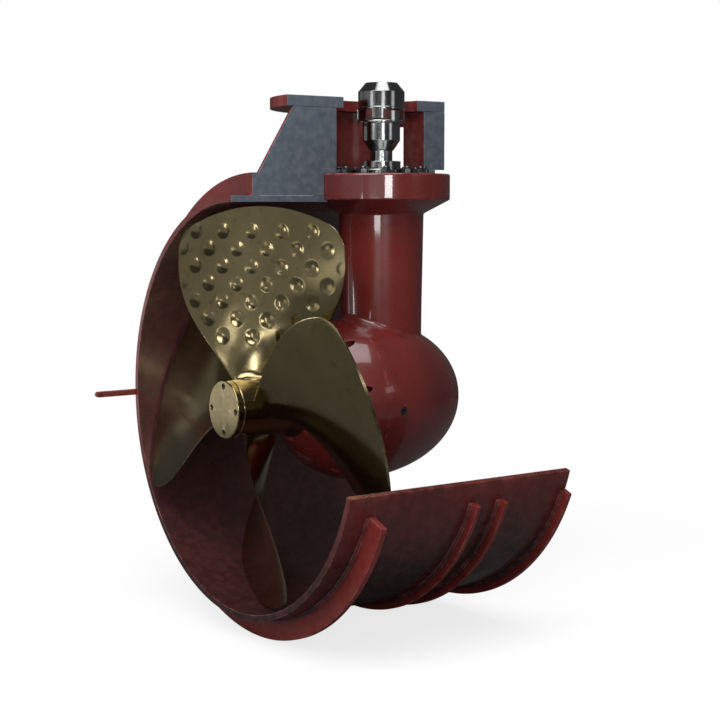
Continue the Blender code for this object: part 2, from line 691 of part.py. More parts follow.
def front_cover():
    """The bell that closes the pod's front and carries the propeller shaft's main bearing and seal."""
    seam = FRONT_SEAM_X - SEAT
    outer = [(POD_NOSE_X, 0.0)] + pod_curve(POD_NOSE_X, seam, 6) + [(seam, 0.0)]
    item = turned("front_cover", outer, "X", OUTER_SIDES)
    inner = FRONT_OPENING_R - SPIGOT_WALL
    join(item, rod("spigot", seam - SPIGOT_WALL, seam + SPIGOT_LENGTH, FRONT_OPENING_R, "X"))
    bore = FRONT_BEARING_OUTER_R + SEAT
    shoulder = FRONT_BEARING_END_X - SEAT
    seal = POD_NOSE_X + FRONT_SEAL_SETBACK + FRONT_SEAL_LENGTH
    mouth = seam + 2 * SPIGOT_LENGTH
    floor = POD_NOSE_X + FRONT_BOSS_LENGTH
    boss = FRONT_BEARING_X + FRONT_BEARING_LAP
    outline = ((mouth, 0.0), (mouth, inner), (seam - 0.010, inner), (floor, FRONT_BOSS_R + FRONT_BOSS_ROOT),
               (floor, FRONT_BOSS_R), (boss, FRONT_BOSS_R), (boss, bore), (shoulder, bore),
               (shoulder, FRONT_LIP_R), (seal, FRONT_LIP_R), (seal, FRONT_SEAL_R + SEAT),
               (POD_NOSE_X - 0.01, FRONT_SEAL_R + SEAT), (POD_NOSE_X - 0.01, 0.0))
    cut(item, turned("hollow", outline, "X"))
    pocket = rod("pocket", -LONG, FRONT_POCKET_X, POCKET_R, "X", HOLE_SIDES)
    pocket.data.transform(Matrix.Translation((0.0, 0.0, FRONT_SCREW_CIRCLE_R)))
    return cut(item, repeat(pocket, round_x(FRONT_SCREWS, FRONT_SCREW_ANGLE)))


def tail_cover():
    """The rounded end of the pod, which carries the shaft's thrust bearing."""
    seam = TAIL_SEAM_X + SEAT
    places = [seam + (POD_TIP_X - seam) * math.sin(math.radians(15.0 * step)) for step in range(6)]
    outer = [(seam, 0.0)] + [(x, pod_radius(x)) for x in places] + [(POD_TIP_X, 0.0)]
    item = turned("tail_cover", outer, "X", OUTER_SIDES)
    spigot = seam - TAIL_SPIGOT_LENGTH
    join(item, rod("spigot", spigot, seam + TAIL_SPIGOT_LENGTH, TAIL_OPENING_R, "X"))
    shoulder = TAIL_BEARING_END_X + SEAT
    mouth = spigot - 0.01
    outline = ((mouth, 0.0), (mouth, BEARING_BORE_R), (shoulder, BEARING_BORE_R),
               (shoulder, TAIL_POCKET_R), (TAIL_POCKET_X, TAIL_POCKET_R), (TAIL_POCKET_X, 0.0))
    cut(item, turned("hollow", outline, "X"))
    pocket = rod("pocket", TAIL_POCKET_FACE_X, LONG, POCKET_R, "X", HOLE_SIDES)
    pocket.data.transform(Matrix.Translation((0.0, 0.0, TAIL_SCREW_CIRCLE_R)))
    plug = rod("plug", POD_TIP_X - TAIL_PLUG_DEPTH, LONG, TAIL_PLUG_R + SEAT, "X", HOLE_SIDES)
    return cut(item, repeat(pocket, round_x(TAIL_SCREWS, TAIL_SCREW_ANGLE)), plug)


def tail_plug():
    """The small plug that stands out of the pod's tip."""
    low = POD_TIP_X - TAIL_PLUG_DEPTH + SEAT
    end = POD_TIP_X + TAIL_PLUG_LENGTH
    outline = ((low, 0.0), (low, TAIL_PLUG_R), (end - TAIL_PLUG_CHAMFER, TAIL_PLUG_R),
               (end, TAIL_PLUG_R - TAIL_PLUG_CHAMFER), (end, 0.0))
    return turned("tail_plug", outline, "X", HOLE_SIDES)


def drain_plug():
    """The oil plug in the pod's side, flush with a hexagonal socket."""
    low = POD_R - DRAIN_PLUG_DEPTH + SEAT
    high = POD_R - DRAIN_PLUG_RECESS
    item = rod("drain_plug", low, high, DRAIN_PLUG_R, segments=HOLE_SIDES)
    cut(item, rod("socket", high - DRAIN_SOCKET_DEPTH, LONG, DRAIN_PLUG_R / 2, segments=6))
    return drain_place(item)


def bearing_carrier():
    """The flanged sleeve in the leg's head, with the studs and nuts that hold it down."""
    top = LEG_FLANGE_TOP_Z
    shoulder = UPPER_BEARING_Z - SEAT
    lip = BEARING_BORE_R - BEARING_LIP
    outline = ((CARRIER_LOW_Z, lip), (CARRIER_LOW_Z, CARRIER_R), (CARRIER_SEAT_Z, CARRIER_R),
               (CARRIER_SEAT_Z, CARRIER_FLANGE_R), (top, CARRIER_FLANGE_R), (top, BEARING_BORE_R),
               (shoulder, BEARING_BORE_R), (shoulder, lip))
    item = turned("bearing_carrier", outline)
    nut = rod("nut", top - CARRIER_NUT_HEIGHT, top + CARRIER_NUT_HEIGHT, CARRIER_NUT_R, segments=6)
    nut.data.transform(Matrix.Translation((CARRIER_NUT_CIRCLE_R, 0.0, 0.0)))
    return join(item, repeat(nut, round_z(even(CARRIER_NUTS))))


def top_cover():
    """The cover over the upper bearing, whose neck holds the lip seal."""
    top = TOP_COVER_Z + TOP_COVER_FLANGE
    spigot = UPPER_BEARING_TOP_Z + SEAT
    hollow = top - TOP_COVER_ROOF
    bore = TOP_SEAL_R + SEAT
    outline = ((spigot, TOP_SEAL_R), (spigot, BEARING_OUTER_R), (TOP_COVER_Z, BEARING_OUTER_R),
               (TOP_COVER_Z, TOP_COVER_R), (top, TOP_COVER_R), (top, TOP_COVER_NECK_R),
               (TOP_COVER_TOP_Z, TOP_COVER_NECK_R), (TOP_COVER_TOP_Z, bore), (TOP_SEAL_LOW_Z, bore),
               (TOP_SEAL_LOW_Z, INPUT_BODY_R), (hollow, INPUT_BODY_R), (hollow, TOP_SEAL_R))
    return turned("top_cover", outline)


def running_radius(radius):
    """The corner radius of a faceted bore whose flats still clear a faceted shaft that turns in it."""
    return (radius + RUNNING_GAP) / math.cos(math.pi / INNER_SIDES)


def top_seal():
    """The lip seal round the input shaft."""
    low = TOP_SEAL_LOW_Z + SEAT
    high = TOP_COVER_TOP_Z - SEAL_LIP / 3
    inner = running_radius(INPUT_SHAFT_R)
    outline = ((low, inner), (low, TOP_SEAL_R), (high, TOP_SEAL_R), (high, inner + SEAL_LIP),
               (low + SEAL_LIP, inner))
    return turned("top_seal", outline)


def front_seal():
    """The lip seal round the propeller shaft, in the pod's nose."""
    low = POD_NOSE_X + FRONT_SEAL_SETBACK
    high = low + FRONT_SEAL_LENGTH - SEAT
    inner = running_radius(SEAL_RUN_R)
    outline = ((low, inner + SEAL_LIP), (low, FRONT_SEAL_R), (high, FRONT_SEAL_R), (high, inner),
               (high - FRONT_SEAL_LIP, inner))
    return turned("front_seal", outline, "X")


def bearing(name, narrow, wide, seat, outer, axis="Z"):
    """A taper bearing as a cup and a cone that meets it, narrow end first."""
    middle = (seat + outer) / 2
    lean = (outer - seat) * BEARING_TAPER_SHARE
    inner = seat + SEAT
    cone = ((narrow, inner), (narrow, middle - lean), (wide, middle + lean), (wide, inner))
    cup = ((narrow, running_radius(middle - lean)), (narrow, outer), (wide, outer),
           (wide, running_radius(middle + lean)))
    return turned(name + "_cup", cup, axis), turned(name + "_cone", cone, axis)


def key_box(name, x, radius, length, grow):
    """A box along X across a shaft's upper side."""
    half = KEY_WIDTH / 2 + grow
    rise = KEY_HEIGHT / 2 + grow
    return block(name, (x - grow, -half, radius - rise), (x + length + grow, half, radius + rise))


def key_slot(name, x, radius, length):
    """A key along X, half sunk in a shaft's upper side, and the cutter for its slot."""
    return key_box(name, x, radius, length, 0.0), key_box("slot", x, radius, length, SEAT)


def input_shaft():
    """The stepped vertical shaft, from the pinion's nut to the coupling's lower hub."""
    under = PINION_BEARING_TOP_Z + SEAT
    upper = UPPER_BEARING_Z - 2 * SEAT
    top = LOWER_HUB_TOP_Z - THREAD_OVERRUN
    low = PINION_NUT_Z - THREAD_OVERRUN
    seat = PINION_BORE_R - SEAT
    nut_end = UPPER_BEARING_TOP_Z + LOCK_NUT_THICKNESS + THREAD_OVERRUN
    hub = LOWER_HUB_Z - SEAT
    outline = ((low, 0.0), (low, PINION_THREAD_R), (PINION_SEAT_Z, PINION_THREAD_R), (PINION_SEAT_Z, seat),
               (PINION_BACK_Z, seat), (PINION_BACK_Z, INPUT_BEARING_R), (under, INPUT_BEARING_R),
               (under, INPUT_BODY_R), (upper, INPUT_BODY_R), (upper, INPUT_BEARING_R),
               (nut_end, INPUT_BEARING_R), (nut_end + BEARING_STEP, INPUT_SHAFT_R),
               (hub, INPUT_SHAFT_R), (hub, INPUT_HUB_R), (top, INPUT_HUB_R), (top, 0.0))
    return turned("input_shaft", outline)


def upright(item):
    """Turn an item that was made along X, with its top at +Z, to stand along Z with its top at +X."""
    item.data.transform(Matrix(((0, 0, 1, 0), (0, -1, 0, 0), (1, 0, 0, 0), (0, 0, 0, 1))))
    return item


def involute(angle):
    """The involute of an angle."""
    return math.tan(angle) - angle


def tooth_half_angle(radius, teeth, pitch_r):
    """Half a tooth's angle at a radius of the spur gear that a bevel gear's back cone unrolls to."""
    base = pitch_r * math.cos(math.radians(PRESSURE_ANGLE))
    slope = math.acos(min(1.0, base / radius))
    at_pitch = math.pi / (2.0 * teeth) - BACKLASH / (2.0 * pitch_r)
    return at_pitch + involute(math.radians(PRESSURE_ANGLE)) - involute(slope)


def tooth_outline(teeth, cone):
    """One tooth at the gear's wide end, as (along, radius, angle), from one flank's foot to the other's."""
    module = 2.0 * GEAR_CONE_DISTANCE * math.sin(cone) / teeth
    pitch_r = GEAR_CONE_DISTANCE * math.tan(cone)
    low = pitch_r - DEDENDUM_SHARE * module
    high = pitch_r + ADDENDUM_SHARE * module
    side = []
    for step in range(FLANK_POINTS):
        radius = low + (high - low) * step / (FLANK_POINTS - 1)
        half = tooth_half_angle(radius, teeth / math.cos(cone), pitch_r) / math.cos(cone)
        along = GEAR_CONE_DISTANCE * math.cos(cone) - (radius - pitch_r) * math.sin(cone)
        side.append((along, radius * math.cos(cone), half))
    return [(a, r, -h) for a, r, h in side] + [(a, r, h) for a, r, h in reversed(side)]


def bevel_ring(name, teeth, cone, rim, axis, first):
    """A bevel gear's toothed ring, its teeth tapering toward the origin."""
    shrink = (GEAR_CONE_DISTANCE - GEAR_FACE_WIDTH) / GEAR_CONE_DISTANCE
    outline = tooth_outline(teeth, cone)
    foot_along, foot_r = outline[0][:2]
    back = (foot_along + rim * math.sin(cone), foot_r - rim * math.cos(cone))
    mesh = bmesh.new()
    wide, narrow, wide_in, narrow_in = [], [], [], []
    for tooth in range(teeth):
        middle = first + 2.0 * math.pi * tooth / teeth
        points = [about(axis, along, radius, middle + turn) for along, radius, turn in outline]
        wide.append([mesh.verts.new(point) for point in points])
        narrow.append([mesh.verts.new(point * shrink) for point in points])
        inner = about(axis, back[0], back[1], middle + outline[0][2])
        wide_in.append(mesh.verts.new(inner))
        narrow_in.append(mesh.verts.new(inner * shrink))
    for tooth in range(teeth):
        after = (tooth + 1) % teeth
        edge = wide[tooth] + [wide[after][0]]
        edge_in = narrow[tooth] + [narrow[after][0]]
        for point in range(len(edge) - 1):
            mesh.faces.new((edge[point], edge[point + 1], edge_in[point + 1], edge_in[point]))
        mesh.faces.new(edge + [wide_in[after], wide_in[tooth]])
        mesh.faces.new(list(reversed(edge_in)) + [narrow_in[tooth], narrow_in[after]])
        mesh.faces.new((wide_in[tooth], wide_in[after], narrow_in[after], narrow_in[tooth]))
    return object_from(mesh, name)


def crown_gear():
    """The large bevel gear on the propeller shaft, a tooth at its top."""
    item = bevel_ring("crown_gear", CROWN_TEETH, CROWN_CONE, CROWN_RIM, "X", 0.0)
    inner = GEAR_CONE_DISTANCE - GEAR_FACE_WIDTH
    toe_r = inner * math.sin(CROWN_CONE) - CROWN_RIM_LAP
    toe_x = inner * math.cos(CROWN_CONE) + CROWN_RIM_LAP
    outer_r = GEAR_CONE_DISTANCE * math.sin(CROWN_CONE) - CROWN_RIM
    web_end = CROWN_WEB_X + CROWN_WEB
    shoulder = CROWN_SHOULDER_X + SEAT
    bore = CROWN_SEAT_R + SEAT
    outline = ((shoulder, bore), (shoulder, CROWN_HUB_R), (toe_x, CROWN_HUB_R), (toe_x, toe_r),
               (CROWN_WEB_X, outer_r), (web_end, outer_r), (web_end, CROWN_HUB_R),
               (CROWN_BACK_X, CROWN_HUB_R), (CROWN_BACK_X, bore))
    return join(item, turned("web", outline, "X"))


def bevel_pinion():
    """The small bevel gear on the input shaft, a gap between its teeth toward the crown gear."""
    gap = math.pi / PINION_TEETH
    item = bevel_ring("bevel_pinion", PINION_TEETH, PINION_CONE, PINION_RIM, "Z", gap)
    inner = GEAR_CONE_DISTANCE - GEAR_FACE_WIDTH
    toe_z = inner * math.cos(PINION_CONE) + PINION_HUB_LAP
    toe_r = inner * math.sin(PINION_CONE) - PINION_RIM
    heel_z = GEAR_CONE_DISTANCE * math.cos(PINION_CONE)
    low = PINION_SEAT_Z + SEAT
    high = PINION_BACK_Z - SEAT
    outline = ((low, PINION_BORE_R), (low, toe_r), (toe_z, toe_r), (heel_z, PINION_HUB_R),
               (high, PINION_HUB_R), (high, PINION_BORE_R))
    return join(item, turned("hub", outline))


def prop_shaft():
    """The stepped propeller shaft, from the propeller's nut to the thrust bearing's lock nut."""
    front = HUB_NUT_X - PROP_THREAD_OVERRUN
    tail = TAIL_BEARING_END_X + TAIL_THREAD_LENGTH
    seat_start = FRONT_BEARING_END_X - SEAL_STEP
    shoulder = FRONT_BEARING_X + SEAT
    crown_end = TAIL_BEARING_X - SEAT
    outline = ((front, 0.0), (front, PROP_THREAD_R), (HUB_RECESS_X, PROP_THREAD_R),
               (HUB_RECESS_X, HUB_TAPER_FRONT_R), (HUB_COLLAR_X, SEAL_RUN_R),
               (seat_start - SEAL_STEP, SEAL_RUN_R), (seat_start, FRONT_BEARING_SEAT_R),
               (shoulder, FRONT_BEARING_SEAT_R), (shoulder, PROP_SHAFT_R),
               (CROWN_SHOULDER_X, PROP_SHAFT_R), (CROWN_SHOULDER_X, CROWN_SEAT_R), (crown_end, CROWN_SEAT_R),
               (crown_end, TAIL_BEARING_SEAT_R), (tail, TAIL_BEARING_SEAT_R), (tail, 0.0))
    return turned("prop_shaft", outline, "X")


def blade_half_angle(radius):
    """Half the angle that a blade spans at a radius, its tip corners rounded."""
    angle = BLADE_WIDEST_ANGLE - BLADE_NARROWING * (radius - BLADE_WIDEST_R) ** 2
    past = max(0.0, radius - (BLADE_TIP_R - BLADE_TIP_CORNER))
    corner = BLADE_TIP_CORNER - math.sqrt(max(0.0, BLADE_TIP_CORNER ** 2 - past ** 2))
    return math.radians(angle) - corner / radius


def blade_section(radius, middle):
    """The closed outline of a blade at one radius: a thin lens along the screw surface."""
    share = (radius - BLADE_ROOT_R) / (BLADE_TIP_R - BLADE_ROOT_R)
    thickest = BLADE_ROOT_THICKNESS + share * (BLADE_TIP_THICKNESS - BLADE_ROOT_THICKNESS)
    lead = BLADE_PITCH / (2.0 * math.pi)
    length = math.hypot(radius, lead)
    half = blade_half_angle(radius)
    points = []
    for face in (1.0, -1.0):
        for step in range(BLADE_CHORD_POINTS):
            chord = face * math.sin(math.pi * (step / (BLADE_CHORD_POINTS - 1) - 0.5))
            turn = chord * half
            angle = middle + turn
            thick = BLADE_EDGE_THICKNESS + (thickest - BLADE_EDGE_THICKNESS) * (1.0 - chord ** 2)
            normal = Vector((radius, lead * math.cos(angle), lead * math.sin(angle))) / length
            points.append(about("X", BLADE_X + lead * turn, radius, angle) + normal * face * thick / 2)
    return points


def blade(middle):
    """One blade, lofted from its root inside the hub to its tip."""
    straight_end = BLADE_TIP_R - BLADE_TIP_CORNER
    reach = straight_end - BLADE_ROOT_R
    radii = [BLADE_ROOT_R + reach * step / BLADE_STATIONS for step in range(BLADE_STATIONS)]
    turns = [math.pi / 2 * step / BLADE_CORNER_STATIONS for step in range(BLADE_CORNER_STATIONS + 1)]
    radii += [straight_end + BLADE_TIP_CORNER * math.sin(turn) for turn in turns]
    mesh = bmesh.new()
    rings = [[mesh.verts.new(point) for point in blade_section(radius, middle)] for radius in radii]
    count = 2 * BLADE_CHORD_POINTS
    for low, high in zip(rings, rings[1:]):
        for point in range(count):
            beyond = (point + 1) % count
            mesh.faces.new((low[point], low[beyond], high[beyond], high[point]))
    for closing in (rings[0], rings[-1]):
        for point in range(BLADE_CHORD_POINTS - 1):
            other = count - 1 - point
            mesh.faces.new((closing[point], closing[point + 1], closing[other - 1], closing[other]))
    return object_from(mesh, "blade")


def propeller():
    """The fixed-pitch propeller: its hub, bored on a taper, and its blades."""
    outline = ((HUB_FRONT_X, HUB_RECESS_R), (HUB_FRONT_X, HUB_R), (HUB_FLARE_X, HUB_R),
               (HUB_BACK_X - HUB_BACK_WIDTH, HUB_BACK_R), (HUB_BACK_X, HUB_BACK_R),
               (HUB_BACK_X, SEAL_RUN_R + SEAT), (HUB_COLLAR_X, SEAL_RUN_R + SEAT),
               (HUB_RECESS_X, HUB_TAPER_FRONT_R + SEAT), (HUB_RECESS_X, HUB_RECESS_R))
    item = turned("propeller", outline, "X", HUB_SIDES)
    for angle in even(BLADES, BLADE_ANGLE):
        join(item, blade(math.radians(angle)))
    return item


def propeller_nut():
    """The hexagonal nut in the hub's recess."""
    item = rod("propeller_nut", HUB_NUT_X, HUB_RECESS_X - SEAT, PROP_NUT_R, "X", 6)
    return cut(item, rod("thread", -LONG, LONG, PROP_THREAD_R + SEAT, "X"))


def cap_places(item):
    """Move an item on the X axis to each of the cap's bolts."""
    item.data.transform(Matrix.Translation((0.0, 0.0, CAP_BOLT_CIRCLE_R)))
    return repeat(item, round_x(CAP_BOLTS))


def hub_cap():
    """The cap over the propeller's nut, with a pocket for each bolt head."""
    bends = [math.radians(30.0 * step) for step in range(4)]
    rim = [(CAP_CHAMFER * (1.0 - math.sin(bend)), CAP_CHAMFER * (1.0 - math.cos(bend))) for bend in bends]
    outline = [(CAP_FRONT_X + along, HUB_R - inset) for along, inset in reversed(rim)]
    outline = [(CAP_FRONT_X, 0.0)] + outline + [(CAP_BACK_X, HUB_R), (CAP_BACK_X, 0.0)]
    item = turned("hub_cap", outline, "X", HUB_SIDES)
    pocket = rod("pocket", -LONG, CAP_FRONT_X + CAP_POCKET_DEPTH, CAP_HEAD_R + RUNNING_GAP, "X", HOLE_SIDES)
    return cut(item, cap_places(pocket))


def cap_bolts():
    """The bolts of the hub cap, their heads below its face."""
    seat = CAP_FRONT_X + CAP_POCKET_DEPTH - SEAT
    bolts = []
    for index, turn in enumerate(round_x(CAP_BOLTS)):
        item = rod("cap_bolt_" + str(index + 1), seat - CAP_HEAD_LENGTH, seat, CAP_HEAD_R, "X", HOLE_SIDES)
        item.data.transform(turn @ Matrix.Translation((0.0, 0.0, CAP_BOLT_CIRCLE_R)))
        bolts.append(item)
    return bolts


def lock_ring(name, low, high, inner, outer, axis):
    """A round lock nut with four wrench slots."""
    item = ring(name, low, high, inner, outer, axis)
    side = (outer - inner) / 3
    for turn in even(LOCK_NUT_SLOTS):
        angle = math.radians(turn)
        slot = block("slot", (-side, -side, -LONG), (side, side, LONG))
        if axis == "X":
            slot.data.transform(Matrix.Rotation(math.pi / 2, 4, "Y"))
        spin = Matrix.Rotation(angle, 4, axis)
        away = Vector((0.0, 0.0, outer)) if axis == "X" else Vector((outer, 0.0, 0.0))
        slot.data.transform(spin @ Matrix.Translation(away))
        cut(item, slot)
    return item


def jaw(low, high, angle):
    """One of the coupling's jaws, centred on an angle."""
    outline = ((low, JAW_INNER_R), (low, COUPLING_R), (high, COUPLING_R), (high, JAW_INNER_R))
    return turned("jaw", outline, "Z", 3, angle - JAW_ANGLE / 2, JAW_ANGLE)


def lower_hub():
    """The coupling half on the input shaft, its jaws up."""
    top = LOWER_HUB_TOP_Z
    bore = INPUT_HUB_R + SEAT
    outline = ((LOWER_HUB_Z, bore), (LOWER_HUB_Z, INPUT_SHAFT_R), (LOWER_HUB_NECK_Z, LOWER_HUB_R),
               (top, LOWER_HUB_R), (top, COUPLING_R - PLATE_CHAMFER), (top + PLATE_CHAMFER, COUPLING_R),
               (LOWER_JAW_Z, COUPLING_R), (LOWER_JAW_Z, bore))
    item = turned("coupling_lower_hub", outline, segments=HUB_SIDES)
    for angle in even(JAWS):
        join(item, jaw(LOWER_JAW_Z - JAW_LAP, UPPER_PLATE_Z - JAW_END_GAP, angle))
    return item


def upper_hub():
    """The coupling half for the motor's shaft, its jaws down."""
    outline = ((UPPER_PLATE_Z, MOTOR_BORE_R), (UPPER_PLATE_Z, COUPLING_R), (UPPER_HUB_Z, COUPLING_R),
               (UPPER_HUB_Z + PLATE_CHAMFER, UPPER_HUB_R), (UPPER_HUB_SHOULDER_Z, UPPER_HUB_R),
               (UPPER_HUB_TOP_Z, UPPER_HUB_TOP_R), (UPPER_HUB_TOP_Z, MOTOR_BORE_R))
    item = turned("coupling_upper_hub", outline, segments=HUB_SIDES)
    for angle in even(JAWS, 180.0 / JAWS):
        join(item, jaw(LOWER_JAW_Z + JAW_END_GAP, UPPER_PLATE_Z + JAW_LAP, angle))
    half = KEY_WIDTH / 2
    rise = KEY_HEIGHT / 2
    return cut(item, block("keyway", (MOTOR_BORE_R - rise, -half, 0.0), (MOTOR_BORE_R + rise, half, LONG)))


def coupling_spider():
    """The flexible star between the coupling's jaws."""
    low = LOWER_JAW_Z + SEAT
    high = UPPER_PLATE_Z - SEAT
    item = ring("coupling_spider", low, high, MOTOR_BORE_R * SPIDER_BORE_SHARE, JAW_INNER_R - SEAT)
    width = 180.0 / JAWS - JAW_ANGLE - SPIDER_GAP_ANGLE
    inner = JAW_INNER_R - SPIDER_LAP
    outer = COUPLING_R - SPIDER_INSET
    outline = ((low, inner), (low, outer), (high, outer), (high, inner))
    for angle in even(2 * JAWS, 90.0 / JAWS):
        join(item, turned("leg", outline, "Z", 2, angle - width / 2, width))
    return item


def stool_pieces():
    """The motor stool: its foot, its drum with windows, its plate and gussets."""
    half_turn = OUTER_SIDES // 2
    foot = ring("stool_foot", STOOL_FOOT_Z, STOOL_LOW_Z - SEAT, STOOL_BORE_R, LEG_FLANGE_R,
                segments=half_turn, sweep=180.0)
    drum = ring("stool_drum", STOOL_LOW_Z, STOOL_TOP_Z, STOOL_BORE_R, STOOL_R, segments=half_turn, sweep=180.0)
    for middle in WINDOW_MIDDLES:
        start = middle - WINDOW_ANGLE / 2
        outer = STOOL_R + STOOL_WALL
        cut(drum, ring("window", WINDOW_LOW_Z, WINDOW_TOP_Z, STOOL_R / 2, outer, "Z", 4, start, WINDOW_ANGLE))
    plate = ring("stool_plate", PLATE_LOW_Z, PLATE_TOP_Z, PLATE_BORE_R, PLATE_R, segments=24, sweep=180.0)
    cut(plate, block("clip", (FAR_X, -LONG, 0.0), (LONG, LONG, LONG)))
    hole = rod("hole", 0.0, LONG, MOTOR_BOLT_HOLE_R, segments=HOLE_SIDES)
    hole.data.transform(Matrix.Translation((MOTOR_BOLT_CIRCLE_R, 0.0, 0.0)))
    cut(plate, repeat(hole, round_z(MOTOR_BOLT_ANGLES)))
    return [foot, drum, plate, near_gusset(), far_gusset(), rear_gusset()]


def near_gusset():
    """The gusset toward the propeller, which reaches down to the tunnel and its flange."""
    drum = -(STOOL_R + SEAT)
    flange_edge = -(LEG_FLANGE_R + SEAT)
    low = SHELL_R + SEAT
    end = FLANGE_END_X + SEAT
    top = STOOL_TOP_Z
    outline = ((drum, top), (PLATE_OVERHANG - PLATE_R, top), (end, low + GUSSET_TOE), (end, low),
               (flange_edge, low), (flange_edge, STOOL_LOW_Z), (drum, STOOL_LOW_Z))
    return slab("stool_gusset_near", outline, "Y", 0.0, GUSSET_HALF)


def far_gusset():
    """The gusset away from the propeller, cut off level with the tunnel's end."""
    drum = STOOL_R + SEAT
    outline = ((drum, STOOL_LOW_Z), (FAR_X, STOOL_LOW_Z), (FAR_X, STOOL_TOP_Z), (drum, STOOL_TOP_Z))
    return slab("stool_gusset_far", outline, "Y", 0.0, GUSSET_HALF)


def rear_gusset():
    """The gusset at the back, its foot following the tunnel's curve."""
    drum = STOOL_R + SEAT
    step = SEAT_RING_TOP_Z + SEAT
    seat = SEAT_RING_R + SEAT
    outline = [(drum, STOOL_LOW_Z), (drum, STOOL_TOP_Z), (PLATE_R - PLATE_OVERHANG, STOOL_TOP_Z)]
    foot = RING_SEAT_R + SEAT
    for part in range(7):
        y = REAR_GUSSET_FOOT_Y + (seat - REAR_GUSSET_FOOT_Y) * part / 6
        outline.append((y, math.sqrt(foot ** 2 - y ** 2)))
    outline += [(seat, step), (LEG_FLANGE_R + SEAT, step), (LEG_FLANGE_R + SEAT, STOOL_LOW_Z)]
    return slab("stool_gusset_rear", outline, "X", -GUSSET_HALF, GUSSET_HALF)


def foot_bolts():
    """The hexagonal bolt heads on the stool's foot."""
    bolts = []
    low = STOOL_LOW_Z
    for index, turn in enumerate(round_z(FOOT_BOLT_ANGLES)):
        item = rod("stool_bolt_" + str(index + 1), low, low + FOOT_BOLT_HEIGHT, FOOT_BOLT_R, segments=6)
        item.data.transform(turn @ Matrix.Translation(((STOOL_R + LEG_FLANGE_R) / 2, 0.0, 0.0)))
        bolts.append(item)
    return bolts


def dressed(items, colour, carrier=None):
    """Give pieces their finish, shade them smooth and hang them on what turns with them."""
    for item in items:
        item.data.materials.clear()
        item.data.materials.append(finish_of(item.name, colour))
        item.data.shade_smooth()
        item.data.set_sharp_from_angle(angle=SMOOTH_ANGLE)
        item.parent = carrier


def axis_empty(name):
    """An empty on a joint's axis."""
    empty = bpy.data.objects.new(name, None)
    bpy.context.scene.collection.objects.link(empty)
    return empty


def frame_pieces():
    """Everything that stands still."""
    tunnel = tunnel_pieces()
    dressed(tunnel + stool_pieces() + [leg_housing(), front_cover(), tail_cover()], "red")
    upper_cup, upper_cone = bearing("upper_bearing", UPPER_BEARING_Z, UPPER_BEARING_TOP_Z,
                                    INPUT_BEARING_R, BEARING_OUTER_R)
    pinion_cup, pinion_cone = bearing("pinion_bearing", PINION_BEARING_TOP_Z, PINION_BEARING_Z,
                                      INPUT_BEARING_R, BEARING_OUTER_R)
    front_cup, front_cone = bearing("front_bearing", FRONT_BEARING_X, FRONT_BEARING_END_X, FRONT_BEARING_SEAT_R,
                                    FRONT_BEARING_OUTER_R, "X")
    tail_cup, tail_cone = bearing("tail_bearing", TAIL_BEARING_X, TAIL_BEARING_END_X, TAIL_BEARING_SEAT_R,
                                  BEARING_OUTER_R, "X")
    cups = [upper_cup, pinion_cup, front_cup, tail_cup]
    dressed([bearing_carrier(), top_cover(), tail_plug(), drain_plug()] + foot_bolts() + cups, "dark_steel")
    dressed([top_seal(), front_seal()], "rubber")
    return [upper_cone, pinion_cone], [front_cone, tail_cone]


def input_line(cones):
    """Everything that turns with the motor."""
    carrier = axis_empty("input_axis")
    shaft = input_shaft()
    pinion = bevel_pinion()
    hub = lower_hub()
    length = PINION_BACK_Z - PINION_SEAT_Z - 2 * KEY_INSET
    pinion_key, slot = key_slot("pinion_key", PINION_SEAT_Z + KEY_INSET, PINION_BORE_R, length)
    upright(pinion_key)
    fit_key(shaft, pinion, upright(slot))
    length = LOWER_HUB_LENGTH - 2 * KEY_INSET
    hub_key, slot = key_slot("coupling_key", LOWER_HUB_Z + KEY_INSET, INPUT_HUB_R, length)
    upright(hub_key)
    fit_key(shaft, hub, upright(slot))
    nut = rod("pinion_nut", PINION_NUT_Z, PINION_SEAT_Z - SEAT, PINION_NUT_R, segments=6)
    cut(nut, rod("thread", 0.0, LONG, PINION_THREAD_R + SEAT))
    lock = lock_ring("input_lock_nut", UPPER_BEARING_TOP_Z + SEAT, UPPER_BEARING_TOP_Z + LOCK_NUT_THICKNESS,
                     INPUT_BEARING_R + SEAT, INPUT_BEARING_R + LOCK_NUT_WALL, "Z")
    dressed([shaft, pinion, hub, upper_hub(), nut, lock, pinion_key, hub_key] + cones, "steel", carrier)
    dressed([coupling_spider()], "polymer", carrier)


def fit_key(shaft, hub, slot):
    """Cut a key's slot in the shaft and in what sits on it."""
    twin = slot.copy()
    twin.data = slot.data.copy()
    bpy.context.scene.collection.objects.link(twin)
    cut(shaft, slot)
    cut(hub, twin)


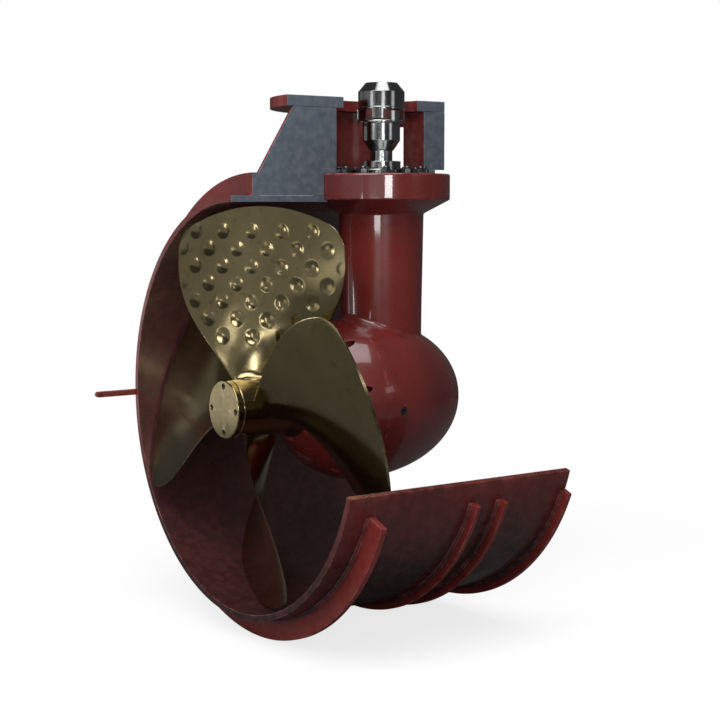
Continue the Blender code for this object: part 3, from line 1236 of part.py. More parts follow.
def propeller_line(cones):
    """Everything that turns with the propeller."""
    carrier = axis_empty("propeller_axis")
    shaft = prop_shaft()
    crown = crown_gear()
    screw = propeller()
    crown_key, slot = key_slot("crown_key", CROWN_SHOULDER_X + KEY_INSET, CROWN_SEAT_R,
                               CROWN_HUB_LENGTH - 2 * KEY_INSET)
    fit_key(shaft, crown, slot)
    screw_key, slot = key_slot("propeller_key", HUB_RECESS_X + PROPELLER_KEY_SETBACK,
                               HUB_TAPER_FRONT_R + PROPELLER_KEY_RISE, PROPELLER_KEY_LENGTH)
    fit_key(shaft, screw, slot)
    spacer = ring("crown_spacer", CROWN_BACK_X + SEAT, TAIL_BEARING_X - 2 * SEAT, CROWN_SEAT_R + SEAT,
                  CROWN_SEAT_R + THREAD_STEP, "X")
    lock = lock_ring("tail_lock_nut", TAIL_BEARING_END_X + SEAT, TAIL_BEARING_END_X + LOCK_NUT_THICKNESS,
                     TAIL_BEARING_SEAT_R + SEAT, TAIL_BEARING_SEAT_R + LOCK_NUT_WALL, "X")
    dressed([shaft, crown, crown_key, screw_key, spacer, lock, propeller_nut()] + cones, "steel", carrier)
    dressed([screw, hub_cap()], "bronze", carrier)
    dressed(cap_bolts(), "dark_steel", carrier)


def build():
    """Make every piece of the thruster."""
    clear_scene()
    input_cones, propeller_cones = frame_pieces()
    input_line(input_cones)
    propeller_line(propeller_cones)


build()
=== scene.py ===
"""The tunnel bow thruster, dressed: fine meshes, small fasteners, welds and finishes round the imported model.

Metres, +Z up, in the model's own frame: the propeller turns about X and the coupling about Z.
Angles about X are counted from the top toward the near side, -Y, where the tunnel is cut away.
"""

import json
import math

import bmesh
import bpy
import numpy as np
from mathutils import Matrix, Vector

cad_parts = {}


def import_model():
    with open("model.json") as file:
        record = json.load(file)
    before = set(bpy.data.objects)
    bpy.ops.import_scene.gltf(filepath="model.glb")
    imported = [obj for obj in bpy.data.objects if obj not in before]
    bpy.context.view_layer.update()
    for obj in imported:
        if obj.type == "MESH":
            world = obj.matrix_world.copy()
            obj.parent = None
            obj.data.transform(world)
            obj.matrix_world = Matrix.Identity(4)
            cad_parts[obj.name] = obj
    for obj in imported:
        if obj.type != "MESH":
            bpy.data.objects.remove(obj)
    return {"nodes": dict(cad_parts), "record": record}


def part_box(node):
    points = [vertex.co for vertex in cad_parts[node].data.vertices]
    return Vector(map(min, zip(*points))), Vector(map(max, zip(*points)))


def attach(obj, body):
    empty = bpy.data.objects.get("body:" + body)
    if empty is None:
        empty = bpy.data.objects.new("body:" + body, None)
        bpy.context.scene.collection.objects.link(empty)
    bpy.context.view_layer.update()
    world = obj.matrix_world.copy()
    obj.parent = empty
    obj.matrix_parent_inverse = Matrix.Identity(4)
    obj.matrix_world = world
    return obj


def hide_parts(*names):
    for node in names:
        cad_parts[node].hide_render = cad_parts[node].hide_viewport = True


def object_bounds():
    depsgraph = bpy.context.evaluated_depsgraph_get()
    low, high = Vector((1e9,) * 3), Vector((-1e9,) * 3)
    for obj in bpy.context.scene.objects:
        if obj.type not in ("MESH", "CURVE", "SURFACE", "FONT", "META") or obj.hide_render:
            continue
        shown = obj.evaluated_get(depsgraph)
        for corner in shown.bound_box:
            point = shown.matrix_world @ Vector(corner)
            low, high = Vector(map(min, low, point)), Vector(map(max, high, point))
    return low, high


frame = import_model()
CAD_BOX = [list(corner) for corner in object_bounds()]

# The camera, solved from the circles of the tunnel, the flange and the stool
VIEW_AZIMUTH = -35.42
VIEW_ELEVATION = 5.72
VIEW_DISTANCE = 4.0136
VIEW_TARGET = (-0.0676, 0.0, 0.0988)
SENSOR = 36.0
LENS = 1545.4 / 720.0 * SENSOR

# Clearance and fineness
SEAT = 0.0003
RUNNING_GAP = 0.0005
FINE_STEP = 1.5
ROUND_SIDES = 128
SMALL_SIDES = 32
LONG = 2.0
OVERRUN = 0.01
MERGE = 1e-6
CURVE_STEPS = 40
SMOOTH_ANGLE = math.radians(38.0)
SECTION_DEPTH = 0.0016
MACHINED_LIMIT = 40.0
CAST_LIMIT = 42.0
ROLLED_LIMIT = 50.0
CAST_EDGE = 0.0009
PLATE_EDGE = 0.0012
WASHER_EDGE = 0.0004

# Tunnel
WALL = 0.016
SHELL_CUT_ANGLE = 106.5
RING_CUT_ANGLE = 112.0
SHELL_EDGE = PLATE_EDGE
RING_EDGE = 0.0022
WELD_LEG = 0.006
WELD_STEP = 0.005
WELD_MARGIN = 0.3

# Gear leg
POD_WIDEST_X = -0.100
POD_NOSE_LENGTH = 0.2026
POD_TAIL_LENGTH = 0.313
POD_TAIL_POWER = 2.15
POD_WALL = 0.016
FRONT_SEAM_X = -0.125
TAIL_SEAM_X = 0.112
COLUMN_TOP_R = 0.110
COLUMN_FOOT_R = 0.105
COLUMN_WALL = 0.019
COLUMN_STRAIGHT_Z = 0.240
COLUMN_DRAFT_R = COLUMN_FOOT_R + 0.0007
CUP_LIP = 0.010
CONE_LOW_Z = 0.477
LEG_FLANGE_LOW_Z = 0.513
LEG_FLANGE_R = 0.178
FILLET_NEAR = 0.005
FILLET_FRONT = 0.016
FILLET_STEPS = 8
FRONT_OPENING_R = 0.165
TAIL_OPENING_R = 0.100
BULKHEAD_X = 0.100
SPIGOT_LENGTH = 0.013
SPIGOT_WALL = 0.015
TAIL_SPIGOT_LENGTH = 0.008
FRONT_BOSS_R = 0.085
FRONT_BOSS_LENGTH = 0.047
FRONT_SEAL_LENGTH = 0.018
FRONT_SEAL_R = 0.060
FRONT_LIP_R = 0.050
TAIL_POCKET_R = 0.050
TAIL_POCKET_X = 0.165
BOSS_R = 0.082
BOSS_LOW_Z = 0.1495
BOSS_LIP = 0.022
POCKET_R = 0.011
POCKET_SCREW_R = 0.0088
POCKET_SCREW_HEIGHT = 0.010
FRONT_SCREWS = 9
FRONT_SCREW_CIRCLE_R = 0.186
FRONT_SCREW_ANGLE = 75.7
FRONT_POCKET_X = -0.145
TAIL_SCREWS = 6
TAIL_SCREW_CIRCLE_R = 0.136
TAIL_SCREW_ANGLE = 90.0
TAIL_POCKET_FACE_X = 0.126
DRAIN_PLUG_X = -0.080
DRAIN_PLUG_ANGLE = 93.0
DRAIN_PLUG_R = 0.011
DRAIN_PLUG_DEPTH = 0.012

# Leg head
CARRIER_R = 0.097
CARRIER_FLANGE_R = 0.130
CARRIER_FLANGE_THICKNESS = 0.020
CARRIER_NUTS = 12
CARRIER_NUT_CIRCLE_R = 0.111
CARRIER_NUT_R = 0.0135
NUT_CROWN = 0.001
WASHER_THICKNESS = 0.0022
STUD_R = 0.0078
STUD_RISE = 0.0065
THREAD_PITCH = 0.0018
TOP_COVER_R = 0.088
TOP_COVER_FLANGE = 0.011
TOP_COVER_NECK_R = 0.050
TOP_SEAL_R = 0.0445
TOP_SEAL_LOW_Z = 0.597
TOP_SCREWS = 8
TOP_SCREW_CIRCLE_R = 0.069
TOP_SCREW_R = 0.0062
TOP_SCREW_ANGLE = 22.5
WASHER_R = 0.01512

# Coupling
COUPLING_R = 0.0615
LOWER_HUB_R = 0.0485
LOWER_HUB_NECK_Z = 0.665
LOWER_HUB_TOP_Z = 0.710
JAW_PLATE = 0.006
UPPER_HUB_Z = 0.746
UPPER_HUB_SHOULDER_Z = 0.789
UPPER_HUB_R = 0.061
UPPER_HUB_TOP_R = 0.041
MOTOR_BORE_R = 0.0325
INPUT_HUB_R = 0.0265
INPUT_SHAFT_R = 0.029
JAWS = 4
JAW_ANGLE = 26.0
JAW_INNER_R = 0.034
JAW_CLEARANCE = 0.0035
UPPER_HUB_SKIRT = 0.0025
KEY_WIDTH = 0.012

# Motor stool
STOOL_BOLTS = 4
STOOL_BOLT_R = 0.010
STOOL_WASHER_THICKNESS = 0.0021

# Propeller
BLADES = 4
BLADE_ANGLE = -0.75
BLADE_X = -0.371
BLADE_PITCH = 1.000
BLADE_ROOT_R = 0.050
BLADE_WIDEST_R = 0.320
BLADE_WIDEST_ANGLE = 36.75
BLADE_NARROWING = 238.0
BLADE_TIP_CORNER = 0.034
BLADE_ROOT_THICKNESS = 0.030
BLADE_TIP_THICKNESS = 0.008
BLADE_EDGE_THICKNESS = 0.003
BLADE_ROWS = 34
BLADE_CHORD_POINTS = 30
PATTERN_ROWS = 120
PATTERN_CHORD_POINTS = 136
ROOT_FILLET = 0.020
HUB_R = 0.0715
HUB_BACK_R = 0.084
HUB_FLARE_X = -0.318
SEAL_RUN_R = 0.039
HUB_TAPER_FRONT_R = 0.030
HUB_RECESS_R = 0.045
HUB_RECESS_X = -0.428
CAP_BOLTS = 4
CAP_BOLT_CIRCLE_R = 0.0575
CAP_HEAD_R = 0.0075
CAP_HEAD_HEIGHT = 0.006
CAP_POCKET_DEPTH = 0.009

# Hammer marks on the upper blade, spaced along a level line across it
DIMPLE_ROW = 0.0435
DIMPLE_PITCH = 0.0754
DIMPLE_START = 0.021
DIMPLE_R = 0.0195
DIMPLE_TILT = 0.88
DIMPLE_DEPTH = 0.0036
DIMPLE_LOW = 0.150
DIMPLE_HIGH = 0.460
DIMPLE_WAY = Vector((0.815, -0.580, 0.0))

# Colours, as they show in plain light
RED_MID = (0.205, 0.024, 0.020)
RED_DARK = (0.115, 0.015, 0.014)
RED_WORN = (0.300, 0.085, 0.075)
# Painted shade for the tunnel: its bore, and its outside toward the bottom between the two heights below
BORE_PAINTED_SHADE = (0.062, 0.021, 0.021)
UNDERSIDE_PAINTED_SHADE = (0.010, 0.010, 0.010)
SHADE_START_Z = -0.02
SHADE_FULL_Z = -0.36
SECTION_MID = (0.105, 0.130, 0.165)
SECTION_DARK = (0.080, 0.100, 0.128)
SECTION_WORN = (0.200, 0.220, 0.245)
BRONZE_MID = (0.400, 0.330, 0.175)
BRONZE_DARK = (0.290, 0.235, 0.120)
BRONZE_TARNISH = (0.150, 0.120, 0.070)
BRONZE_WORN = (0.620, 0.500, 0.300)
STEEL_MID = (0.520, 0.530, 0.530)
STEEL_DARK = (0.300, 0.310, 0.310)
GEAR_MID = (0.420, 0.420, 0.440)
GEAR_DARK = (0.280, 0.280, 0.300)
BLACK_MID = (0.130, 0.135, 0.140)
BLACK_DARK = (0.070, 0.075, 0.080)
RUBBER_MID = (0.022, 0.022, 0.022)
RUBBER_DARK = (0.012, 0.012, 0.012)
POLYMER_MID = (0.090, 0.020, 0.016)
POLYMER_DARK = (0.055, 0.014, 0.012)

# Strength of the even light, and of what polished faces mirror of it, and the floor
SKY = 0.30
MIRRORED_SKY = 0.06
FLOOR_PALE = (0.30, 0.30, 0.30)
FLOOR_MIRRORED = (0.13, 0.13, 0.13)
FLOOR_GLOW = 0.78
FLOOR_R = 30.0

RECORD = frame["record"]
SLOT_OF = {part["node"]: part["material_slot"] for part in RECORD["subparts"]}
BODY_OF = {node: body for body, nodes in RECORD["behaviour"]["bodies"].items() for node in nodes}
SHELL_LOW, SHELL_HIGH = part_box("tunnel_shell")
SHELL_R = -SHELL_LOW.z
LEG_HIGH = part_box("leg_housing")[1]
POD_R = LEG_HIGH.y


def placed(name, data):
    """A new object in the scene."""
    item = bpy.data.objects.new(name, data)
    bpy.context.scene.collection.objects.link(item)
    return item


def object_from(mesh, name):
    """Close a bmesh into a new object with its faces pointing out."""
    bmesh.ops.remove_doubles(mesh, verts=mesh.verts, dist=MERGE)
    bmesh.ops.recalc_face_normals(mesh, faces=mesh.faces)
    data = bpy.data.meshes.new(name)
    mesh.to_mesh(data)
    mesh.free()
    return placed(name, data)


def about(axis, along, radius, angle):
    """A point at an angle about an axis: from the top toward -Y on X, from +X toward +Y on Z."""
    if axis == "X":
        return Vector((along, -radius * math.sin(angle), radius * math.cos(angle)))
    return Vector((radius * math.cos(angle), radius * math.sin(angle), along))


def rounded(outline, radius, steps=3):
    """A closed outline of (along, radius) points with each corner off the axis rounded."""
    points = [Vector(point) for point in outline]
    made = []
    for index, corner in enumerate(points):
        before = points[index - 1] - corner
        after = points[(index + 1) % len(points)] - corner
        turn = before.angle(after)
        if corner.y < MERGE or turn > math.radians(168.0):
            made.append(corner)
            continue
        reach = min(radius / math.tan(turn / 2), 0.45 * before.length, 0.45 * after.length)
        start = corner + before.normalized() * reach
        end = corner + after.normalized() * reach
        for step in range(steps + 1):
            share = step / steps
            made.append(start * (1 - share) ** 2 + corner * 2 * share * (1 - share) + end * share ** 2)
    return made


def skin(mesh, rings, closed=True):
    """Join each row of points to the next one with faces, the rows closed rings or open lines."""
    for before, after in zip(rings, rings[1:]):
        for point in range(len(before) if closed else len(before) - 1):
            beyond = (point + 1) % len(before)
            mesh.faces.new((before[point], before[beyond], after[beyond], after[point]))


def close_ends(mesh, rings):
    """Close the first and the last ring with a face each."""
    mesh.faces.new(rings[0])
    mesh.faces.new(list(reversed(rings[-1])))


def spun(name, outline, axis, angles, whole):
    """Carry a closed outline of (along, radius) points through a list of angles about an axis."""
    mesh = bmesh.new()
    rings = []
    for angle in angles:
        turn = math.radians(angle)
        rings.append([mesh.verts.new(about(axis, along, radius, turn)) for along, radius in outline])
    if whole:
        skin(mesh, rings + rings[:1])
    else:
        skin(mesh, rings)
        close_ends(mesh, rings)
    return object_from(mesh, name)


def turned(name, outline, axis="Z", segments=ROUND_SIDES, edge=0.0):
    """Turn a closed outline of (along, radius) points all the way about an axis."""
    shape = rounded(outline, edge) if edge else outline
    angles = [360.0 * step / segments for step in range(segments)]
    return spun(name, shape, axis, angles, True)


def arc(name, outline, axis, start, end, edge):
    """Turn a closed outline between two angles about an axis, in fine steps."""
    steps = max(2, round((end - start) / FINE_STEP))
    angles = [start + (end - start) * step / steps for step in range(steps + 1)]
    return spun(name, rounded(outline, edge), axis, angles, False)


def rod(name, low, high, radius, axis="Z", segments=SMALL_SIDES, edge=0.0):
    """A round bar, its rims rounded where asked."""
    return turned(name, ((low, 0.0), (low, radius), (high, radius), (high, 0.0)), axis, segments, edge)


def block(name, low, high):
    """A plain box between two corners, used as a cutter."""
    mesh = bmesh.new()
    bmesh.ops.create_cube(mesh, size=1.0)
    item = object_from(mesh, name)
    size = Vector(high) - Vector(low)
    middle = (Vector(high) + Vector(low)) / 2
    item.data.transform(Matrix.Translation(middle) @ Matrix.Diagonal((*size, 1.0)))
    return item


def settled(item):
    """Apply an object's modifiers to its mesh."""
    bpy.context.view_layer.update()
    depsgraph = bpy.context.evaluated_depsgraph_get()
    mesh = bpy.data.meshes.new_from_object(item.evaluated_get(depsgraph))
    item.modifiers.clear()
    item.data = mesh
    return item


def combine(item, tool, operation):
    """Join a tool to an item or cut it away, and keep only the result."""
    modifier = item.modifiers.new(operation, "BOOLEAN")
    modifier.operation = operation
    modifier.solver = "EXACT"
    modifier.object = tool
    settled(item)
    bpy.data.objects.remove(tool, do_unlink=True)
    return item


def cut(item, *tools):
    """Cut tools away from an item."""
    for tool in tools:
        combine(item, tool, "DIFFERENCE")
    return item


def join(item, *tools):
    """Join tools to an item as one solid."""
    for tool in tools:
        combine(item, tool, "UNION")
    return item


def repeated(item, places):
    """Repeat an item at each place, as one object of separate solids."""
    whole = bmesh.new()
    for place in places:
        copy = item.data.copy()
        copy.transform(place)
        whole.from_mesh(copy)
        bpy.data.meshes.remove(copy)
    whole.to_mesh(item.data)
    whole.free()
    return item


def gathered(name, items):
    """Put several objects' meshes side by side in one object."""
    whole = bmesh.new()
    for item in items:
        whole.from_mesh(item.data)
        bpy.data.objects.remove(item, do_unlink=True)
    return object_from(whole, name)


def turns(axis, count, first=0.0):
    """Even turns about an axis, about X from the top toward the near side."""
    return [Matrix.Rotation(math.radians(first + 360.0 * index / count), 4, axis) for index in range(count)]


def bevelled(item, width, limit=30.0, segments=3):
    """Round an object's sharp edges."""
    modifier = item.modifiers.new("edges", "BEVEL")
    modifier.width = width
    modifier.segments = segments
    modifier.limit_method = "ANGLE"
    modifier.angle_limit = math.radians(limit)
    return settled(item)


def refined(node, width):
    """A copy of a node whose flat faces are whole again and whose sharp edges are rounded."""
    mesh = bmesh.new()
    mesh.from_mesh(frame["nodes"][node].data)
    bmesh.ops.remove_doubles(mesh, verts=mesh.verts, dist=1e-5)
    bmesh.ops.dissolve_limit(mesh, angle_limit=math.radians(1.0), verts=mesh.verts, edges=mesh.edges)
    return bevelled(object_from(mesh, node + "_fine"), width)


def mark_wear(item):
    """Store how sharply each point stands out, for paint and metal to wear there."""
    mesh = bmesh.new()
    mesh.from_mesh(item.data)
    mesh.verts.ensure_lookup_table()
    values = [0.0] * len(mesh.verts)
    for edge in mesh.edges:
        if not edge.is_manifold:
            continue
        turn = edge.calc_face_angle_signed(0.0)
        level = min(1.0, max(0.0, (turn - math.radians(9.0)) / math.radians(20.0)))
        for vert in edge.verts:
            values[vert.index] = max(values[vert.index], level)
    mesh.free()
    attribute = item.data.attributes.new("wear", "FLOAT", "POINT")
    attribute.data.foreach_set("value", np.array(values, np.float32))


def shaded(item):
    """Smooth the round faces and keep the flat ones flat."""
    mark_wear(item)
    item.data.shade_smooth()
    item.data.set_sharp_from_angle(angle=SMOOTH_ANGLE)
    modifier = item.modifiers.new("flat_faces", "WEIGHTED_NORMAL")
    modifier.keep_sharp = True


def stand_for(item, *nodes):
    """Let a fine piece take the place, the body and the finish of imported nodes."""
    add_to(item, nodes[0], SLOT_OF[nodes[0]])
    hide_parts(*nodes)
    return item


def add_to(item, node, slot):
    """Let a small piece ride with a node and take a finish."""
    shaded(item)
    item.data.materials.clear()
    item.data.materials.append(FINISHES[slot])
    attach(item, BODY_OF[node])


def show_section(item):
    """Paint the faces that the cut-away left in the middle plane, with their edges, in the section colour."""
    item.data.materials.append(FINISHES["section"])
    for face in item.data.polygons:
        if face.normal.y < -0.2 and abs(face.center.y) < SECTION_DEPTH:
            face.material_index = 1


# Finishes


def new_finish(name):
    """A new material, its node tree and its shader."""
    material = bpy.data.materials.new(name)
    material.use_nodes = True
    return material, material.node_tree, material.node_tree.nodes["Principled BSDF"]


def place_of(tree, stretch=(1.0, 1.0, 1.0)):
    """The point on the piece, in the piece's own frame, stretched."""
    point = tree.nodes.new("ShaderNodeTexCoord").outputs["Object"]
    mapping = tree.nodes.new("ShaderNodeMapping")
    mapping.inputs["Scale"].default_value = stretch
    tree.links.new(point, mapping.inputs["Vector"])
    return mapping.outputs["Vector"]


def noise(tree, scale, detail=4.0, stretch=(1.0, 1.0, 1.0)):
    """A noise over the piece."""
    node = tree.nodes.new("ShaderNodeTexNoise")
    node.inputs["Scale"].default_value = scale
    node.inputs["Detail"].default_value = detail
    tree.links.new(place_of(tree, stretch), node.inputs["Vector"])
    return node.outputs["Fac"]


def spread(tree, value, low, high, first=0.0, last=1.0):
    """Map a value's range onto another, clamped."""
    node = tree.nodes.new("ShaderNodeMapRange")
    node.inputs["From Min"].default_value = low
    node.inputs["From Max"].default_value = high
    node.inputs["To Min"].default_value = first
    node.inputs["To Max"].default_value = last
    tree.links.new(value, node.inputs["Value"])
    return node.outputs["Result"]


def blended(tree, share, first, second):
    """Mix two colours, each a colour or a socket, by a share."""
    node = tree.nodes.new("ShaderNodeMix")
    node.data_type = "RGBA"
    tree.links.new(share, node.inputs["Factor"])
    for name, colour in (("A", first), ("B", second)):
        socket = next(s for s in node.inputs if s.name == name and s.type == "RGBA")
        if isinstance(colour, tuple):
            socket.default_value = (*colour, 1.0)
        else:
            tree.links.new(colour, socket)
    return next(s for s in node.outputs if s.type == "RGBA")


def product(tree, first, second):
    """Multiply two values."""
    node = tree.nodes.new("ShaderNodeMath")
    node.operation = "MULTIPLY"
    tree.links.new(first, node.inputs[0])
    tree.links.new(second, node.inputs[1])
    return node.outputs["Value"]


def worn(tree, scale):
    """Where edges are worn: the stored edge level, broken up by a noise."""
    node = tree.nodes.new("ShaderNodeAttribute")
    node.attribute_name = "wear"
    return product(tree, node.outputs["Fac"], spread(tree, noise(tree, scale, 5.0), 0.42, 0.62))


def dressed(tree, shader, tone, roughness, height, strength, distance):
    """Give the shader its tone, its roughness and a bump from a height."""
    tree.links.new(tone, shader.inputs["Base Color"])
    tree.links.new(roughness, shader.inputs["Roughness"])
    node = tree.nodes.new("ShaderNodeBump")
    node.inputs["Strength"].default_value = strength
    node.inputs["Distance"].default_value = distance
    tree.links.new(height, node.inputs["Height"])
    tree.links.new(node.outputs["Normal"], shader.inputs["Normal"])


def how_far(tree, stretch=(1.0, 1.0, 1.0)):
    """How far a point is from the piece's origin, in the piece's own frame, stretched."""
    node = tree.nodes.new("ShaderNodeVectorMath")
    node.operation = "LENGTH"
    tree.links.new(place_of(tree, stretch), node.inputs[0])
    return node.outputs["Value"]


def shell_painted_shade(tree, base):
    """Paint shade into the tunnel's colour: a dark bore, and an outside that darkens toward the bottom, both
    painted shade.
    """
    bore = SHELL_R - WALL
    from_axis = how_far(tree, (0.0, 1.0, 1.0))
    # Painted shade: the bore's inner face is blended to a dark colour
    inside = spread(tree, from_axis, bore + 0.004, bore + 0.001, 0.0, 0.96)
    node = tree.nodes.new("ShaderNodeSeparateXYZ")
    tree.links.new(place_of(tree), node.inputs["Vector"])
    # Painted shade: the outside darkens toward near black from one height down to the other
    low = spread(tree, node.outputs["Z"], SHADE_START_Z, SHADE_FULL_Z, 0.0, 0.92)
    outside = spread(tree, from_axis, bore + WALL + 0.014, bore + WALL + 0.003)
    base = blended(tree, product(tree, low, outside), base, UNDERSIDE_PAINTED_SHADE)
    return blended(tree, inside, base, BORE_PAINTED_SHADE)


def paint(name, middle, dark, edge, gloss, coat):
    """Brushed marine paint: an uneven tone, orange peel, and lighter worn edges; on the tunnel also painted
    shade in the bore and toward the bottom.
    """
    material, tree, shader = new_finish(name)
    tone = spread(tree, noise(tree, 3.5), 0.35, 0.65)
    base = blended(tree, tone, middle, dark)
    if name == "tunnel_red":
        # The tunnel's paint gets painted shade in its bore and on its underside
        base = shell_painted_shade(tree, base)
    grime = spread(tree, noise(tree, 24.0, 6.0), 0.60, 0.78, 0.0, 0.55)
    base = blended(tree, grime, base, tuple(0.45 * channel for channel in dark))
    base = blended(tree, worn(tree, 45.0), base, edge)
    rough = spread(tree, noise(tree, 18.0, 5.0), 0.35, 0.65, *gloss)
    shader.inputs["Coat Weight"].default_value = coat
    shader.inputs["Coat Roughness"].default_value = 0.05
    dressed(tree, shader, base, rough, noise(tree, 260.0, 2.0), 0.06, 0.0005)
    return material


def metal(name, middle, dark, roughness, marks):
    """Bare metal: an uneven tone, and fine tool marks that run across the stretch."""
    material, tree, shader = new_finish(name)
    shader.inputs["Metallic"].default_value = 1.0
    base = blended(tree, spread(tree, noise(tree, 6.0), 0.35, 0.65), middle, dark)
    bright = tuple(min(1.0, 1.5 * channel) for channel in middle)
    base = blended(tree, worn(tree, 60.0), base, bright)
    marked = noise(tree, 90.0, 3.0, marks)
    rough = spread(tree, marked, 0.3, 0.7, *roughness)
    dressed(tree, shader, base, rough, marked, 0.35, 0.00008)
    return material


def bronze():
    """Ground and polished propeller bronze, tarnished in patches."""
    material, tree, shader = new_finish("polished_bronze")
    shader.inputs["Metallic"].default_value = 1.0
    tone = spread(tree, noise(tree, 5.0, 5.0), 0.36, 0.66)
    base = blended(tree, tone, BRONZE_MID, BRONZE_DARK)
    tarnish = spread(tree, noise(tree, 38.0, 6.0), 0.58, 0.75, 0.0, 0.45)
    base = blended(tree, tarnish, base, BRONZE_TARNISH)
    base = blended(tree, worn(tree, 50.0), base, BRONZE_WORN)
    marked = noise(tree, 60.0, 4.0, (1.0, 1.0, 7.0))
    rough = spread(tree, marked, 0.3, 0.7, 0.13, 0.22)
    dressed(tree, shader, base, rough, marked, 0.15, 0.00006)
    return material


def dull(name, middle, dark, roughness):
    """Rubber or cast plastic: a matt, faintly mottled surface."""
    material, tree, shader = new_finish(name)
    base = blended(tree, spread(tree, noise(tree, 30.0), 0.35, 0.65), middle, dark)
    rough = spread(tree, noise(tree, 80.0), 0.3, 0.7, *roughness)
    dressed(tree, shader, base, rough, noise(tree, 300.0), 0.2, 0.0003)
    return material


FINISHES = {
    "tunnel_paint": paint("tunnel_red", RED_MID, RED_DARK, RED_WORN, (0.26, 0.40), 0.3),
    "housing_paint": paint("housing_red", RED_MID, RED_DARK, RED_WORN, (0.24, 0.36), 1.0),
    "section": paint("section_grey", SECTION_MID, SECTION_DARK, SECTION_WORN, (0.45, 0.6), 0.0),
    "propeller_bronze": bronze(),
    "machined_steel": metal("turned_steel", STEEL_MID, STEEL_DARK, (0.10, 0.20), (1.0, 1.0, 40.0)),
    "gear_steel": metal("ground_steel", GEAR_MID, GEAR_DARK, (0.25, 0.40), (6.0, 6.0, 6.0)),
    "dark_steel": metal("black_steel", BLACK_MID, BLACK_DARK, (0.32, 0.48), (8.0, 8.0, 8.0)),
    "seal_rubber": dull("nitrile_rubber", RUBBER_MID, RUBBER_DARK, (0.55, 0.75)),
    "spider_polymer": dull("cast_polymer", POLYMER_MID, POLYMER_DARK, (0.35, 0.5)),
}


# Tunnel


def tunnel_ring(node, edge):
    """One of the rings round the tunnel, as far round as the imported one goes."""
    low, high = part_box(node)
    outer = -low.z
    inner = SHELL_R + SEAT
    end = 360.0 - math.degrees(math.acos(min(1.0, high.z / outer)))
    outline = ((low.x, inner), (low.x, outer), (high.x, outer), (high.x, inner))
    item = arc(node + "_fine", outline, "X", RING_CUT_ANGLE, end, edge)
    return bevelled(item, edge / 2, ROLLED_LIMIT), end


def weld_bead(points, ways):
    """A fillet weld: a small rippled bead along a line of points, filling the corner between two ways."""
    mesh = bmesh.new()
    rings = []
    for index, (point, (up, side)) in enumerate(zip(points, ways)):
        ripple = WELD_LEG * (1.0 + 0.09 * math.sin(index * 1.9))
        ring = [point - up * 0.001 - side * 0.001]
        for step in range(5):
            turn = math.pi / 2 * step / 4
            bulge = ripple * (1.0 - 0.22 * math.sin(2 * turn))
            ring.append(point + side * bulge * math.cos(turn) + up * bulge * math.sin(turn))
        rings.append([mesh.verts.new(spot) for spot in ring])
    skin(mesh, rings)
    close_ends(mesh, rings)
    return object_from(mesh, "weld")


def ring_weld(x, side, end):
    """The weld between the shell and one face of a ring."""
    start = RING_CUT_ANGLE + WELD_MARGIN
    span = end - RING_CUT_ANGLE
    steps = round(math.radians(span) * SHELL_R / WELD_STEP)
    angles = [math.radians(start + (span - 2 * WELD_MARGIN) * step / steps) for step in range(steps + 1)]
    points = [about("X", x, SHELL_R, angle) for angle in angles]
    ways = [(about("X", 0.0, 1.0, angle), Vector((side, 0.0, 0.0))) for angle in angles]
    return weld_bead(points, ways)


def tunnel():
    """The shell, its rings, its side bar and their welds."""
    near, far = SHELL_LOW.x, SHELL_HIGH.x
    bore = SHELL_R - WALL
    outline = ((near, bore), (near, SHELL_R), (far, SHELL_R), (far, bore))
    shell = arc("tunnel_shell_fine", outline, "X", SHELL_CUT_ANGLE, 360.0, SHELL_EDGE)
    seat_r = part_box("leg_seat_ring")[1].x
    cut(shell, rod("hole", 0.0, LONG, seat_r + 2 * SEAT, segments=ROUND_SIDES))
    show_section(stand_for(bevelled(shell, SHELL_EDGE, ROLLED_LIMIT), "tunnel_shell"))
    welds = []
    for node in ("tunnel_flange", "stiffener_ring_1", "stiffener_ring_2", "tunnel_end_ring"):
        item, end = tunnel_ring(node, RING_EDGE)
        show_section(stand_for(item, node))
        low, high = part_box(node)
        welds.append(ring_weld(low.x, -1.0, end))
        if node != "tunnel_end_ring":
            welds.append(ring_weld(high.x, 1.0, end))
    add_to(gathered("ring_welds", welds), "tunnel_shell", "tunnel_paint")
    stand_for(refined("tunnel_side_bar", 0.002), "tunnel_side_bar")
    show_section(stand_for(refined("leg_seat_ring", PLATE_EDGE), "leg_seat_ring"))


# Gear leg


def pod_radius(x):
    """The radius of the pod at a place along the propeller shaft."""
    if x < POD_WIDEST_X:
        share = min(1.0, (POD_WIDEST_X - x) / POD_NOSE_LENGTH)
        return POD_R * math.sqrt(1.0 - share ** 2)
    share = min(1.0, (x - POD_WIDEST_X) / POD_TAIL_LENGTH)
    return POD_R * (1.0 - share ** POD_TAIL_POWER) ** (1.0 / POD_TAIL_POWER)


def pod_curve(start, end, steps, inset=0.0):
    """Points along the pod's outline between two places."""
    places = [start + (end - start) * step / steps for step in range(steps + 1)]
    return [(x, pod_radius(x) - inset) for x in places]


